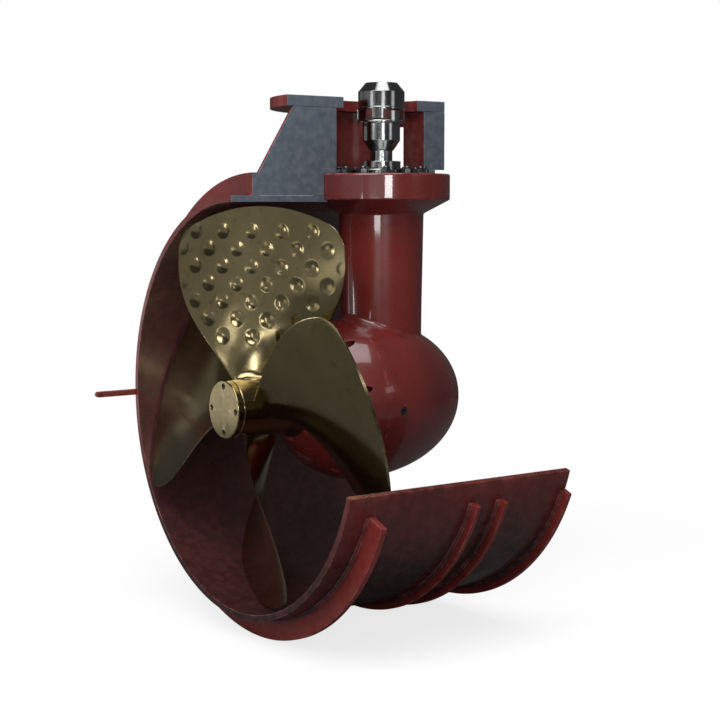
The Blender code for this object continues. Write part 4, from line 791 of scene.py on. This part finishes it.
def foot_fillet(turn):
    """The column's outline at one angle where it runs out into the pod, as (radius, height)."""
    size = FILLET_NEAR + (FILLET_FRONT - FILLET_NEAR) * (1.0 - math.cos(turn)) / 2
    middle_r = COLUMN_FOOT_R + size
    radii = [COLUMN_FOOT_R + 3.0 * size * step / CURVE_STEPS for step in range(CURVE_STEPS + 1)]
    crown = []
    for radius in radii:
        x = radius * math.cos(turn)
        crown.append((radius, math.sqrt(max(0.0, pod_radius(x) ** 2 - (radius * math.sin(turn)) ** 2))))
    low = crown[0][1] - 0.02
    high = crown[0][1] + 0.06
    for _ in range(30):
        middle_z = (low + high) / 2
        nearest = min(crown, key=lambda spot: math.hypot(spot[0] - middle_r, spot[1] - middle_z))
        if math.hypot(nearest[0] - middle_r, nearest[1] - middle_z) > size:
            high = middle_z
        else:
            low = middle_z
    last = math.atan2(nearest[1] - middle_z, nearest[0] - middle_r)
    bends = [-math.pi + (last + math.pi) * step / FILLET_STEPS for step in range(FILLET_STEPS + 1)]
    outline = [(middle_r + size * math.cos(bend), middle_z + size * math.sin(bend)) for bend in bends]
    return outline + [(outline[-1][0] - 0.004, outline[-1][1] - 0.012), (0.03, 0.05), (0.0, 0.05)]


def leg_column():
    """The leg's flange, cone and column, run out into the pod with a fillet."""
    top = LEG_HIGH.z
    steps = 4
    head = rounded(((top + 0.05, 0.0), (top, 0.0), (top, LEG_FLANGE_R), (LEG_FLANGE_LOW_Z, LEG_FLANGE_R),
                    (CONE_LOW_Z, COLUMN_TOP_R), (COLUMN_STRAIGHT_Z, COLUMN_DRAFT_R)), 0.006, steps)
    head = [(radius, z) for z, radius in head[1:]]
    mesh = bmesh.new()
    rings = []
    for step in range(ROUND_SIDES):
        turn = 2 * math.pi * step / ROUND_SIDES
        outline = head[:-steps - 1] + [(COLUMN_DRAFT_R, COLUMN_STRAIGHT_Z)] + foot_fillet(turn)
        rings.append([mesh.verts.new(about("Z", z, radius, turn)) for radius, z in outline])
    skin(mesh, rings + rings[:1], closed=False)
    bmesh.ops.remove_doubles(mesh, verts=mesh.verts, dist=MERGE)
    bmesh.ops.dissolve_degenerate(mesh, dist=MERGE, edges=mesh.edges)
    return object_from(mesh, "leg_housing_fine")


def chamber():
    """The gear chamber inside the pod, with the bearing boss left standing in it."""
    front = FRONT_SEAM_X - OVERRUN
    step_x = FRONT_SEAM_X + 2 * SPIGOT_LENGTH
    outline = [(front, 0.0), (front, FRONT_OPENING_R + SEAT), (step_x, FRONT_OPENING_R + SEAT)]
    outline += pod_curve(step_x + 0.01, BULKHEAD_X, 8, POD_WALL)
    outline += [(BULKHEAD_X, 0.0)]
    return cut(turned("chamber", outline, "X"), rod("boss", BOSS_LOW_Z, LONG, BOSS_R, segments=ROUND_SIDES))


def column_bore():
    """The stepped bore down the column, from the carrier's recess to the pinion's bearing."""
    cup_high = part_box("pinion_bearing_cup")[1]
    bore = cup_high.x + SEAT
    shoulder = cup_high.z + SEAT
    inside = COLUMN_FOOT_R - COLUMN_WALL
    top = LEG_HIGH.z
    recess = top - CARRIER_FLANGE_THICKNESS - SEAT
    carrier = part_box("bearing_carrier")[0].z
    lip = bore - CUP_LIP
    low = BOSS_LOW_Z - OVERRUN
    high = top + OVERRUN
    outline = ((low, 0.0), (low, bore), (shoulder, bore), (shoulder, lip),
               (shoulder + BOSS_LIP, lip), (shoulder + BOSS_LIP, inside), (carrier - 0.02, inside),
               (carrier - 0.01, CARRIER_R + SEAT), (recess, CARRIER_R + SEAT),
               (recess, CARRIER_FLANGE_R + SEAT), (high, CARRIER_FLANGE_R + SEAT), (high, 0.0))
    return turned("column_bore", outline)


def at_drain(item):
    """Turn an upright item to where the drain plug is screwed into the pod's side."""
    turn = Matrix.Rotation(math.radians(DRAIN_PLUG_ANGLE), 4, "X")
    item.data.transform(turn @ Matrix.Translation((DRAIN_PLUG_X, 0.0, 0.0)))
    return item


def leg_casting():
    """The cast leg in one piece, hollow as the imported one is."""
    item = leg_column()
    pod = [(FRONT_SEAM_X, 0.0)] + pod_curve(FRONT_SEAM_X, TAIL_SEAM_X, CURVE_STEPS) + [(TAIL_SEAM_X, 0.0)]
    join(item, turned("pod", pod, "X"))
    cut(item, chamber(), column_bore())
    cut(item, rod("tail_opening", BULKHEAD_X - OVERRUN, LONG, TAIL_OPENING_R + SEAT, "X", ROUND_SIDES))
    hole = rod("hole", POD_R - DRAIN_PLUG_DEPTH, LONG, DRAIN_PLUG_R + SEAT)
    cut(item, at_drain(hole))
    stand_for(bevelled(item, CAST_EDGE, CAST_LIMIT, 2), "leg_housing")


def pockets(low, high, radius, circle_r, places):
    """Round pockets along X, in a circle about the propeller's axis."""
    pocket = rod("pocket", low, high, radius, "X")
    pocket.data.transform(Matrix.Translation((0.0, 0.0, circle_r)))
    return repeated(pocket, places)


def front_bell():
    """The cover in front, with its bearing boss and its screw pockets."""
    seam = FRONT_SEAM_X - SEAT
    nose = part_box("front_cover")[0].x
    outer = [(nose, 0.0)] + pod_curve(nose, seam, CURVE_STEPS) + [(seam, 0.0)]
    item = turned("front_cover_fine", outer, "X")
    inner = FRONT_OPENING_R - SPIGOT_WALL
    spigot = rod("spigot", seam - SPIGOT_WALL, seam + SPIGOT_LENGTH, FRONT_OPENING_R, "X", ROUND_SIDES)
    join(item, spigot)
    cup_low, cup_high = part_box("front_bearing_cup")
    bore = cup_high.y + SEAT
    shoulder = cup_low.x - SEAT
    seal = nose + FRONT_SEAL_LENGTH + 0.002
    mouth = seam + 2 * SPIGOT_LENGTH
    floor = nose + FRONT_BOSS_LENGTH
    boss = cup_high.x + 0.007
    outline = ((mouth, 0.0), (mouth, inner), (seam - 0.010, inner), (floor, FRONT_BOSS_R + 0.015),
               (floor, FRONT_BOSS_R), (boss, FRONT_BOSS_R), (boss, bore), (shoulder, bore),
               (shoulder, FRONT_LIP_R), (seal, FRONT_LIP_R), (seal, FRONT_SEAL_R + SEAT),
               (nose - OVERRUN, FRONT_SEAL_R + SEAT), (nose - OVERRUN, 0.0))
    cut(item, turned("hollow", outline, "X"))
    places = turns("X", FRONT_SCREWS, FRONT_SCREW_ANGLE)
    cut(item, pockets(-LONG, FRONT_POCKET_X, POCKET_R, FRONT_SCREW_CIRCLE_R, places))
    stand_for(bevelled(item, CAST_EDGE, CAST_LIMIT, 2), "front_cover")


def tail_bell():
    """The rounded cover behind, with its screw pockets."""
    seam = TAIL_SEAM_X + SEAT
    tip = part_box("tail_cover")[1].x
    turns_in = [math.pi / 2 * step / CURVE_STEPS for step in range(CURVE_STEPS)]
    places = [seam + (tip - seam) * math.sin(turn) for turn in turns_in]
    outer = [(seam, 0.0)] + [(x, pod_radius(x)) for x in places] + [(tip, 0.0)]
    item = turned("tail_cover_fine", outer, "X")
    spigot = seam - TAIL_SPIGOT_LENGTH
    join(item, rod("spigot", spigot, seam + TAIL_SPIGOT_LENGTH, TAIL_OPENING_R, "X", ROUND_SIDES))
    cup_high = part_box("tail_bearing_cup")[1]
    shoulder = cup_high.x + SEAT
    bore = cup_high.y + SEAT
    mouth = spigot - OVERRUN
    outline = ((mouth, 0.0), (mouth, bore), (shoulder, bore), (shoulder, TAIL_POCKET_R),
               (TAIL_POCKET_X, TAIL_POCKET_R), (TAIL_POCKET_X, 0.0))
    places = turns("X", TAIL_SCREWS, TAIL_SCREW_ANGLE)
    holes = pockets(TAIL_POCKET_FACE_X, LONG, POCKET_R, TAIL_SCREW_CIRCLE_R, places)
    plug_low, plug_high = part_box("tail_plug")
    plug_hole = rod("plug", plug_low.x - SEAT, LONG, plug_high.z + SEAT, "X")
    cut(item, turned("hollow", outline, "X"), holes, plug_hole)
    stand_for(bevelled(item, CAST_EDGE, CAST_LIMIT, 2), "tail_cover")


def socket_screw(name, radius, height):
    """A socket-head screw's head, standing on z = 0 with its hexagonal socket up."""
    head = rod(name, 0.0, height, radius, edge=radius * 0.14)
    socket = rod("socket", height * 0.45, LONG, radius * 0.52, segments=6)
    return bevelled(cut(head, socket), radius * 0.04, MACHINED_LIMIT, 2)


def pocket_screws(cover, x, way, circle_r, places):
    """The socket screws that stand on the floors of a cover's pockets, their heads one way along X."""
    item = socket_screw(cover + "_screws", POCKET_SCREW_R, POCKET_SCREW_HEIGHT)
    seat = Matrix.Translation((x + way * SEAT, 0.0, circle_r))
    item.data.transform(seat @ Matrix.Rotation(way * math.pi / 2, 4, "Y"))
    add_to(repeated(item, places), cover, "dark_steel")


def cover_screws():
    """The socket screws down in the covers' pockets."""
    places = turns("X", FRONT_SCREWS, FRONT_SCREW_ANGLE)
    pocket_screws("front_cover", FRONT_POCKET_X, -1.0, FRONT_SCREW_CIRCLE_R, places)
    places = turns("X", TAIL_SCREWS, TAIL_SCREW_ANGLE)
    pocket_screws("tail_cover", TAIL_POCKET_FACE_X, 1.0, TAIL_SCREW_CIRCLE_R, places)


def plugs():
    """The drain plug and the plug at the pod's tip."""
    drain = rod("drain_plug_fine", POD_R - DRAIN_PLUG_DEPTH + SEAT, POD_R - 0.001, DRAIN_PLUG_R, edge=0.001)
    cut(drain, rod("socket", POD_R - 0.007, LONG, DRAIN_PLUG_R * 0.5, segments=6))
    stand_for(bevelled(at_drain(drain), 0.0004, MACHINED_LIMIT, 2), "drain_plug")
    low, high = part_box("tail_plug")
    stand_for(rod("tail_plug_fine", low.x, high.x, high.z, "X", edge=0.0022), "tail_plug")


# Leg head


def hexagon(name, low, high, radius, crown):
    """A hexagonal nut or head whose top corners are turned off on a cone."""
    body = rod(name, low, high, radius, segments=6)
    flat = radius * math.cos(math.pi / 6)
    wide = radius * 1.3
    shoulder = high - crown - (wide - radius) * 0.6
    outline = ((low - LONG, 0.0), (low - LONG, wide), (shoulder, wide), (high, flat * 0.97), (high, 0.0))
    return combine(body, turned("cone", outline, segments=SMALL_SIDES), "INTERSECT")


def threaded(name, low, high, radius):
    """A stud's end with its thread and a pointed rim."""
    grooves = int((high - low - 0.002) / THREAD_PITCH)
    outline = [(low, 0.0), (low, radius)]
    for groove in range(grooves):
        foot = low + groove * THREAD_PITCH
        outline += [(foot + THREAD_PITCH / 2, radius - 0.0008), (foot + THREAD_PITCH, radius)]
    outline += [(high, radius - 0.0016), (high, 0.0)]
    return turned(name, outline, segments=SMALL_SIDES)


def leg_head():
    """The bearing carrier with its nuts, washers and studs, and the top cover with its screws."""
    low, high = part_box("bearing_carrier")
    top = LEG_HIGH.z
    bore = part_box("upper_bearing_cup")[1].x + SEAT
    under = top - CARRIER_FLANGE_THICKNESS
    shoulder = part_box("upper_bearing_cup")[0].z - SEAT
    lip = bore - CUP_LIP
    outline = ((low.z, lip), (low.z, CARRIER_R), (under, CARRIER_R), (under, CARRIER_FLANGE_R),
               (top, CARRIER_FLANGE_R), (top, bore), (shoulder, bore), (shoulder, lip))
    stand_for(turned("bearing_carrier_fine", outline, edge=0.001), "bearing_carrier")
    seat = top + WASHER_THICKNESS
    outline = ((top, STUD_R), (top, WASHER_R), (seat, WASHER_R), (seat, STUD_R))
    washer = turned("washer", outline, segments=SMALL_SIDES, edge=WASHER_EDGE)
    nut = hexagon("nut", seat, high.z, CARRIER_NUT_R, NUT_CROWN)
    stud = threaded("stud", high.z - 0.002, high.z + STUD_RISE, STUD_R)
    away = Matrix.Translation((CARRIER_NUT_CIRCLE_R, 0.0, 0.0))
    for item, name in ((washer, "carrier_washers"), (nut, "carrier_nuts"), (stud, "carrier_studs")):
        item.name = name
        repeated(item, [turn @ away for turn in turns("Z", CARRIER_NUTS)])
        add_to(item, "bearing_carrier", "dark_steel")
    head_cover()


def head_cover():
    """The cover over the upper bearing, its neck and its screws."""
    low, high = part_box("top_cover")
    seam = LEG_HIGH.z + SEAT
    top = seam + TOP_COVER_FLANGE
    spigot_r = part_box("upper_bearing_cup")[1].x
    inner = INPUT_SHAFT_R + 0.007
    seat_r = TOP_SEAL_R + SEAT
    outline = ((low.z, TOP_SEAL_R), (low.z, spigot_r), (seam, spigot_r), (seam, TOP_COVER_R),
               (top, TOP_COVER_R), (top, TOP_COVER_NECK_R), (high.z, TOP_COVER_NECK_R), (high.z, seat_r),
               (TOP_SEAL_LOW_Z, seat_r), (TOP_SEAL_LOW_Z, inner),
               (top - 0.006, inner), (top - 0.006, TOP_SEAL_R))
    stand_for(turned("top_cover_fine", outline, edge=0.0015), "top_cover")
    screw = socket_screw("top_cover_screws", TOP_SCREW_R, TOP_SCREW_R)
    screw.data.transform(Matrix.Translation((TOP_SCREW_CIRCLE_R, 0.0, top + SEAT)))
    add_to(repeated(screw, turns("Z", TOP_SCREWS, TOP_SCREW_ANGLE)), "top_cover", "dark_steel")
    low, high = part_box("top_seal")
    inner = INPUT_SHAFT_R + RUNNING_GAP
    outline = ((low.z, inner), (low.z, TOP_SEAL_R), (high.z, TOP_SEAL_R), (high.z, inner + 0.006),
               (low.z + 0.006, inner))
    stand_for(turned("top_seal_fine", outline, edge=0.0008), "top_seal")


# Coupling


def jaw(low, high, middle):
    """One of the coupling's jaws, centred on an angle."""
    outline = ((low, JAW_INNER_R), (low, COUPLING_R), (high, COUPLING_R), (high, JAW_INNER_R))
    angles = [middle + JAW_ANGLE * (step / 10 - 0.5) for step in range(11)]
    return spun("jaw", outline, "Z", angles, False)


def coupling():
    """The two hubs with their jaws, and the star between them."""
    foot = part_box("coupling_lower_hub")[0].z
    plate = LOWER_HUB_TOP_Z + JAW_PLATE
    bore = INPUT_HUB_R + SEAT
    outline = ((foot, bore), (foot, INPUT_SHAFT_R + 0.002), (LOWER_HUB_NECK_Z, LOWER_HUB_R),
               (LOWER_HUB_TOP_Z, LOWER_HUB_R), (LOWER_HUB_TOP_Z, COUPLING_R),
               (plate, COUPLING_R), (plate, bore))
    lower = turned("coupling_lower_hub_fine", rounded(outline, 0.002))
    for index in range(JAWS):
        join(lower, jaw(plate - 0.001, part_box("coupling_lower_hub")[1].z, 360.0 * index / JAWS))
    stand_for(bevelled(lower, 0.0010, MACHINED_LIMIT), "coupling_lower_hub")
    under = UPPER_HUB_Z - UPPER_HUB_SKIRT
    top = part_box("coupling_upper_hub")[1].z
    waist = UPPER_HUB_R - 0.001
    outline = ((under, MOTOR_BORE_R), (under, COUPLING_R), (UPPER_HUB_Z + 0.003, COUPLING_R),
               (UPPER_HUB_Z + 0.004, waist), (UPPER_HUB_SHOULDER_Z, waist), (top, UPPER_HUB_TOP_R),
               (top, MOTOR_BORE_R))
    upper = turned("coupling_upper_hub_fine", rounded(outline, 0.0012))
    for index in range(JAWS):
        join(upper, jaw(plate + JAW_CLEARANCE, under + 0.001, 360.0 * (index + 0.5) / JAWS))
    side = KEY_WIDTH / 2
    slot = block("keyway", (MOTOR_BORE_R - 0.004, -side, 0.0), (MOTOR_BORE_R + 0.004, side, LONG))
    stand_for(bevelled(cut(upper, slot), 0.0008, MACHINED_LIMIT), "coupling_upper_hub")
    spider(plate + SEAT, under - SEAT)


def spider(low, high):
    """The star between the jaws."""
    inner = MOTOR_BORE_R * 0.5
    outline = ((low, inner), (low, JAW_INNER_R - SEAT), (high, JAW_INNER_R - SEAT), (high, inner))
    item = turned("coupling_spider_fine", outline)
    width = 180.0 / JAWS - JAW_ANGLE - 1.2
    root = JAW_INNER_R - 0.003
    reach = COUPLING_R - 0.001
    outline = ((low, root), (low, reach), (high, reach), (high, root))
    for index in range(2 * JAWS):
        middle = (index + 0.5) * 180.0 / JAWS
        angles = [middle + width * (step / 6 - 0.5) for step in range(7)]
        join(item, spun("leg", outline, "Z", angles, False))
    stand_for(bevelled(item, 0.0009, MACHINED_LIMIT), "coupling_spider")


# Motor stool


def stool():
    """The motor stool's plates, with rounded edges and grey section faces, and the bolts of its foot."""
    edges = {"stool_foot": PLATE_EDGE, "stool_drum": PLATE_EDGE, "stool_plate": 0.0022,
             "stool_gusset_near": PLATE_EDGE, "stool_gusset_far": PLATE_EDGE, "stool_gusset_rear": 0.0015}
    for node, width in edges.items():
        show_section(stand_for(refined(node, width), node))
    for index in range(STOOL_BOLTS):
        node = "stool_bolt_" + str(index + 1)
        low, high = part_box(node)
        middle = (low + high) / 2
        bolt = hexagon(node + "_fine", low.z + 0.002, high.z, STOOL_BOLT_R, NUT_CROWN)
        washer = rod("washer", low.z, low.z + STOOL_WASHER_THICKNESS, STOOL_BOLT_R * 1.15, edge=WASHER_EDGE)
        join(bolt, washer)
        bolt.data.transform(Matrix.Translation((middle.x, middle.y, 0.0)))
        stand_for(bolt, node)


# Propeller


def blade_half_angle(radius, tip):
    """Half the angle that a blade spans at a radius, its tip corners rounded."""
    angle = BLADE_WIDEST_ANGLE - BLADE_NARROWING * (radius - BLADE_WIDEST_R) ** 2
    past = max(0.0, radius - (tip - BLADE_TIP_CORNER))
    corner = BLADE_TIP_CORNER - math.sqrt(max(0.0, BLADE_TIP_CORNER ** 2 - past ** 2))
    return math.radians(angle) - corner / radius


def dimple(across, up):
    """How deep the round hammer marks are at a place on the blade: a staggered lattice with level rows."""
    if not DIMPLE_LOW < up < DIMPLE_HIGH:
        return 0.0
    row = round(up / DIMPLE_ROW)
    deepest = 0.0
    for near in (row - 1, row, row + 1):
        start = DIMPLE_START - (0.0 if near % 2 else DIMPLE_PITCH / 2)
        column = round((across - start) / DIMPLE_PITCH)
        distance = math.hypot(up - near * DIMPLE_ROW, (across - start - column * DIMPLE_PITCH) / DIMPLE_TILT)
        deepest = max(deepest, 1.0 - (distance / DIMPLE_R) ** 2)
    return deepest


def blade_section(radius, middle, tip, pattern, count):
    """The closed outline of a blade at one radius: a thin lens along the screw surface, with round edges."""
    share = (radius - BLADE_ROOT_R) / (tip - BLADE_ROOT_R)
    thickest = BLADE_ROOT_THICKNESS + share * (BLADE_TIP_THICKNESS - BLADE_ROOT_THICKNESS)
    near_hub = max(0.0, 1.0 - max(0.0, radius - HUB_R) / ROOT_FILLET)
    thickest += 2 * ROOT_FILLET * (1.0 - math.sqrt(1.0 - near_hub ** 2)) * 0.6
    lead = BLADE_PITCH / (2.0 * math.pi)
    length = math.hypot(radius, lead)
    half = blade_half_angle(radius, tip)
    points = []
    for face in (1.0, -1.0):
        for step in range(count):
            chord = face * math.sin(math.pi * (step / (count - 1) - 0.5))
            turn = chord * half
            angle = middle + turn
            edge = BLADE_EDGE_THICKNESS * math.sqrt(max(0.0, 1.0 - chord ** 8))
            thick = edge + (thickest - BLADE_EDGE_THICKNESS) * (1.0 - chord ** 2)
            normal = Vector((radius, lead * math.cos(angle), lead * math.sin(angle))) / length
            spot = about("X", BLADE_X + lead * turn, radius, angle)
            across = spot.dot(DIMPLE_WAY) - BLADE_X * DIMPLE_WAY.x
            relief = DIMPLE_DEPTH * (1.0 - chord ** 6)
            depth = relief * dimple(across, spot.z) if pattern and face < 0 else 0.0
            points.append(spot + normal * face * (thick / 2 - depth))
    return points


def blade(middle, tip, pattern):
    """One blade, lofted from its root inside the hub to its tip."""
    straight_end = tip - BLADE_TIP_CORNER
    rows = PATTERN_ROWS if pattern else BLADE_ROWS
    across = PATTERN_CHORD_POINTS if pattern else BLADE_CHORD_POINTS
    radii = [BLADE_ROOT_R + (straight_end - BLADE_ROOT_R) * step / rows for step in range(rows)]
    radii += [straight_end + BLADE_TIP_CORNER * math.sin(math.pi / 2 * step / 12) for step in range(13)]
    mesh = bmesh.new()
    rings = []
    for radius in radii:
        rings.append([mesh.verts.new(point) for point in blade_section(radius, middle, tip, pattern, across)])
    skin(mesh, rings)
    for closing in (rings[0], rings[-1]):
        for point in range(across - 1):
            other = 2 * across - 1 - point
            mesh.faces.new((closing[point], closing[point + 1], closing[other - 1], closing[other]))
    return object_from(mesh, "blade")


def screw():
    """The propeller in one casting, its cap and the cap's bolts."""
    low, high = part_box("propeller")
    tip = max(high.z, -low.z, high.y, -low.y)
    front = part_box("hub_cap")[1].x + SEAT
    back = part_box("front_cover")[0].x - 0.0015
    taper_end = back - 0.006
    outline = ((front, HUB_RECESS_R), (front, HUB_R), (HUB_FLARE_X, HUB_R), (back - 0.008, HUB_BACK_R),
               (back, HUB_BACK_R), (back, SEAL_RUN_R + SEAT), (taper_end, SEAL_RUN_R + SEAT),
               (HUB_RECESS_X, HUB_TAPER_FRONT_R + SEAT), (HUB_RECESS_X, HUB_RECESS_R))
    item = turned("propeller_fine", rounded(outline, 0.002), "X")
    middles = [math.radians(BLADE_ANGLE + 360.0 * index / BLADES) for index in range(BLADES)]
    join(item, gathered("blades", [blade(middle, tip, middle == middles[0]) for middle in middles]))
    stand_for(item, "propeller")
    cap()


def cap():
    """The cap over the propeller's nut, with a pocket for each bolt, and the bolts."""
    low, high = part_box("hub_cap")
    radius = high.z
    outline = ((low.x, 0.0), (low.x, radius), (high.x, radius), (high.x, 0.0))
    item = turned("hub_cap_fine", rounded(outline, 0.0025), "X")
    floor_x = low.x + CAP_POCKET_DEPTH
    places = turns("X", CAP_BOLTS)
    cut(item, pockets(-LONG, floor_x, CAP_HEAD_R + RUNNING_GAP, CAP_BOLT_CIRCLE_R, places))
    stand_for(bevelled(item, 0.0007, CAST_LIMIT, 2), "hub_cap")
    for index, turn in enumerate(places):
        node = "cap_bolt_" + str(index + 1)
        bolt = socket_screw(node + "_fine", CAP_HEAD_R, CAP_HEAD_HEIGHT)
        seat = Matrix.Translation((floor_x - SEAT, 0.0, CAP_BOLT_CIRCLE_R))
        bolt.data.transform(turn @ seat @ Matrix.Rotation(-math.pi / 2, 4, "Y"))
        stand_for(bolt, node)


def inner_pieces():
    """Give every node that still shows its finish."""
    for name, node in frame["nodes"].items():
        if node.hide_render:
            continue
        node.data.materials.clear()
        node.data.materials.append(FINISHES[SLOT_OF[name]])


# Studio


def floor():
    """A pale floor that keeps the object's shadow and runs out into the white background."""
    lowest = CAD_BOX[0][2]
    mesh = bmesh.new()
    bmesh.ops.create_circle(mesh, cap_ends=True, radius=FLOOR_R, segments=64)
    item = object_from(mesh, "studio_floor")
    item.location = (0.0, 0.0, lowest - 0.001)
    material, tree, shader = new_finish("studio_white")
    path = tree.nodes.new("ShaderNodeLightPath")
    seen = path.outputs["Is Camera Ray"]
    far = product(tree, spread(tree, how_far(tree), 0.9, 2.0), seen)
    pale = blended(tree, path.outputs["Is Glossy Ray"], FLOOR_PALE, FLOOR_MIRRORED)
    tree.links.new(blended(tree, far, pale, (0.0, 0.0, 0.0)), shader.inputs["Base Color"])
    shader.inputs["Roughness"].default_value = 0.9
    shader.inputs["Specular IOR Level"].default_value = 0.0
    shader.inputs["Emission Color"].default_value = (1.0, 1.0, 1.0, 1.0)
    glow = product(tree, seen, spread(tree, far, 0.0, 1.0, FLOOR_GLOW, 1.0))
    tree.links.new(glow, shader.inputs["Emission Strength"])
    item.data.materials.append(material)


def world():
    """A soft even light that shows dark in reflections, with a white background behind the object."""
    scene_world = bpy.data.worlds.new("studio")
    bpy.context.scene.world = scene_world
    scene_world.use_nodes = True
    tree = scene_world.node_tree
    background = tree.nodes["Background"]
    path = tree.nodes.new("ShaderNodeLightPath")
    background.inputs["Color"].default_value = (1.0, 1.0, 1.0, 1.0)
    seen = spread(tree, path.outputs["Is Camera Ray"], 0.0, 1.0, SKY, 1.0)
    mirrored = spread(tree, path.outputs["Is Glossy Ray"], 0.0, 1.0, 1.0, MIRRORED_SKY / SKY)
    tree.links.new(product(tree, seen, mirrored), background.inputs["Strength"])


def lamp(name, azimuth, height, distance, width, tall, power):
    """A soft box that faces the object, its azimuth counted like the camera's."""
    light = bpy.data.lights.new(name, "AREA")
    light.shape = "RECTANGLE"
    light.size = width
    light.size_y = tall
    light.energy = power
    item = placed(name, light)
    turn = math.radians(azimuth)
    item.location = (distance * math.sin(turn), -distance * math.cos(turn), height)
    way = Vector((0.0, 0.0, 0.15)) - item.location
    item.rotation_euler = way.to_track_quat("-Z", "Y").to_euler()
    item.visible_camera = False


def lamps():
    """A key light at the left, a soft top light, and cards that the polished faces mirror."""
    lamp("key", -62.0, 3.4, 3.5, 2.8, 2.8, 115.0)
    lamp("top", -20.0, 4.0, 1.2, 2.5, 2.5, 55.0)
    lamp("flange_strip", -24.4, 0.60, 3.6, 0.75, 0.20, 9.0)
    lamp("column_strip", -46.3, 0.36, 3.6, 1.00, 0.25, 8.0)
    lamp("steel_left", -84.0, 0.97, 3.6, 0.80, 0.16, 1.2)
    lamp("steel_middle", -28.0, 0.98, 3.6, 0.90, 0.40, 2.0)
    lamp("steel_right", 22.0, 0.95, 3.6, 0.90, 0.45, 1.6)
    lamp("blade_card", -98.0, 0.00, 3.4, 4.20, 2.60, 8.0)
    lamp("blade_tick", -67.0, -0.02, 3.2, 0.13, 1.10, 3.4)
    lamp("blade_dot", -119.0, -0.10, 3.2, 0.20, 0.50, 2.6)
    lamp("blade_edge", -100.0, -0.33, 2.0, 0.50, 0.30, 0.35)
    lamp("left_card", -150.0, 0.95, 3.4, 1.80, 1.30, 1.2)
    lamp("cap_card", -145.0, -0.10, 3.4, 1.00, 0.80, 2.4)


def camera():
    """The camera at the photograph's angle."""
    data = bpy.data.cameras.new("camera")
    data.lens = LENS
    data.sensor_width = SENSOR
    item = placed("camera", data)
    turn = math.radians(VIEW_AZIMUTH)
    rise = math.radians(VIEW_ELEVATION)
    back = Vector((math.sin(turn) * math.cos(rise), -math.cos(turn) * math.cos(rise), math.sin(rise)))
    item.location = Vector(VIEW_TARGET) + back * VIEW_DISTANCE
    item.rotation_euler = (-back).to_track_quat("-Z", "Y").to_euler()
    bpy.context.scene.camera = item


tunnel()
leg_casting()
front_bell()
tail_bell()
cover_screws()
plugs()
leg_head()
coupling()
stool()
screw()
inner_pieces()
floor()
world()
lamps()
camera()
bpy.context.scene.view_settings.view_transform = "Standard"
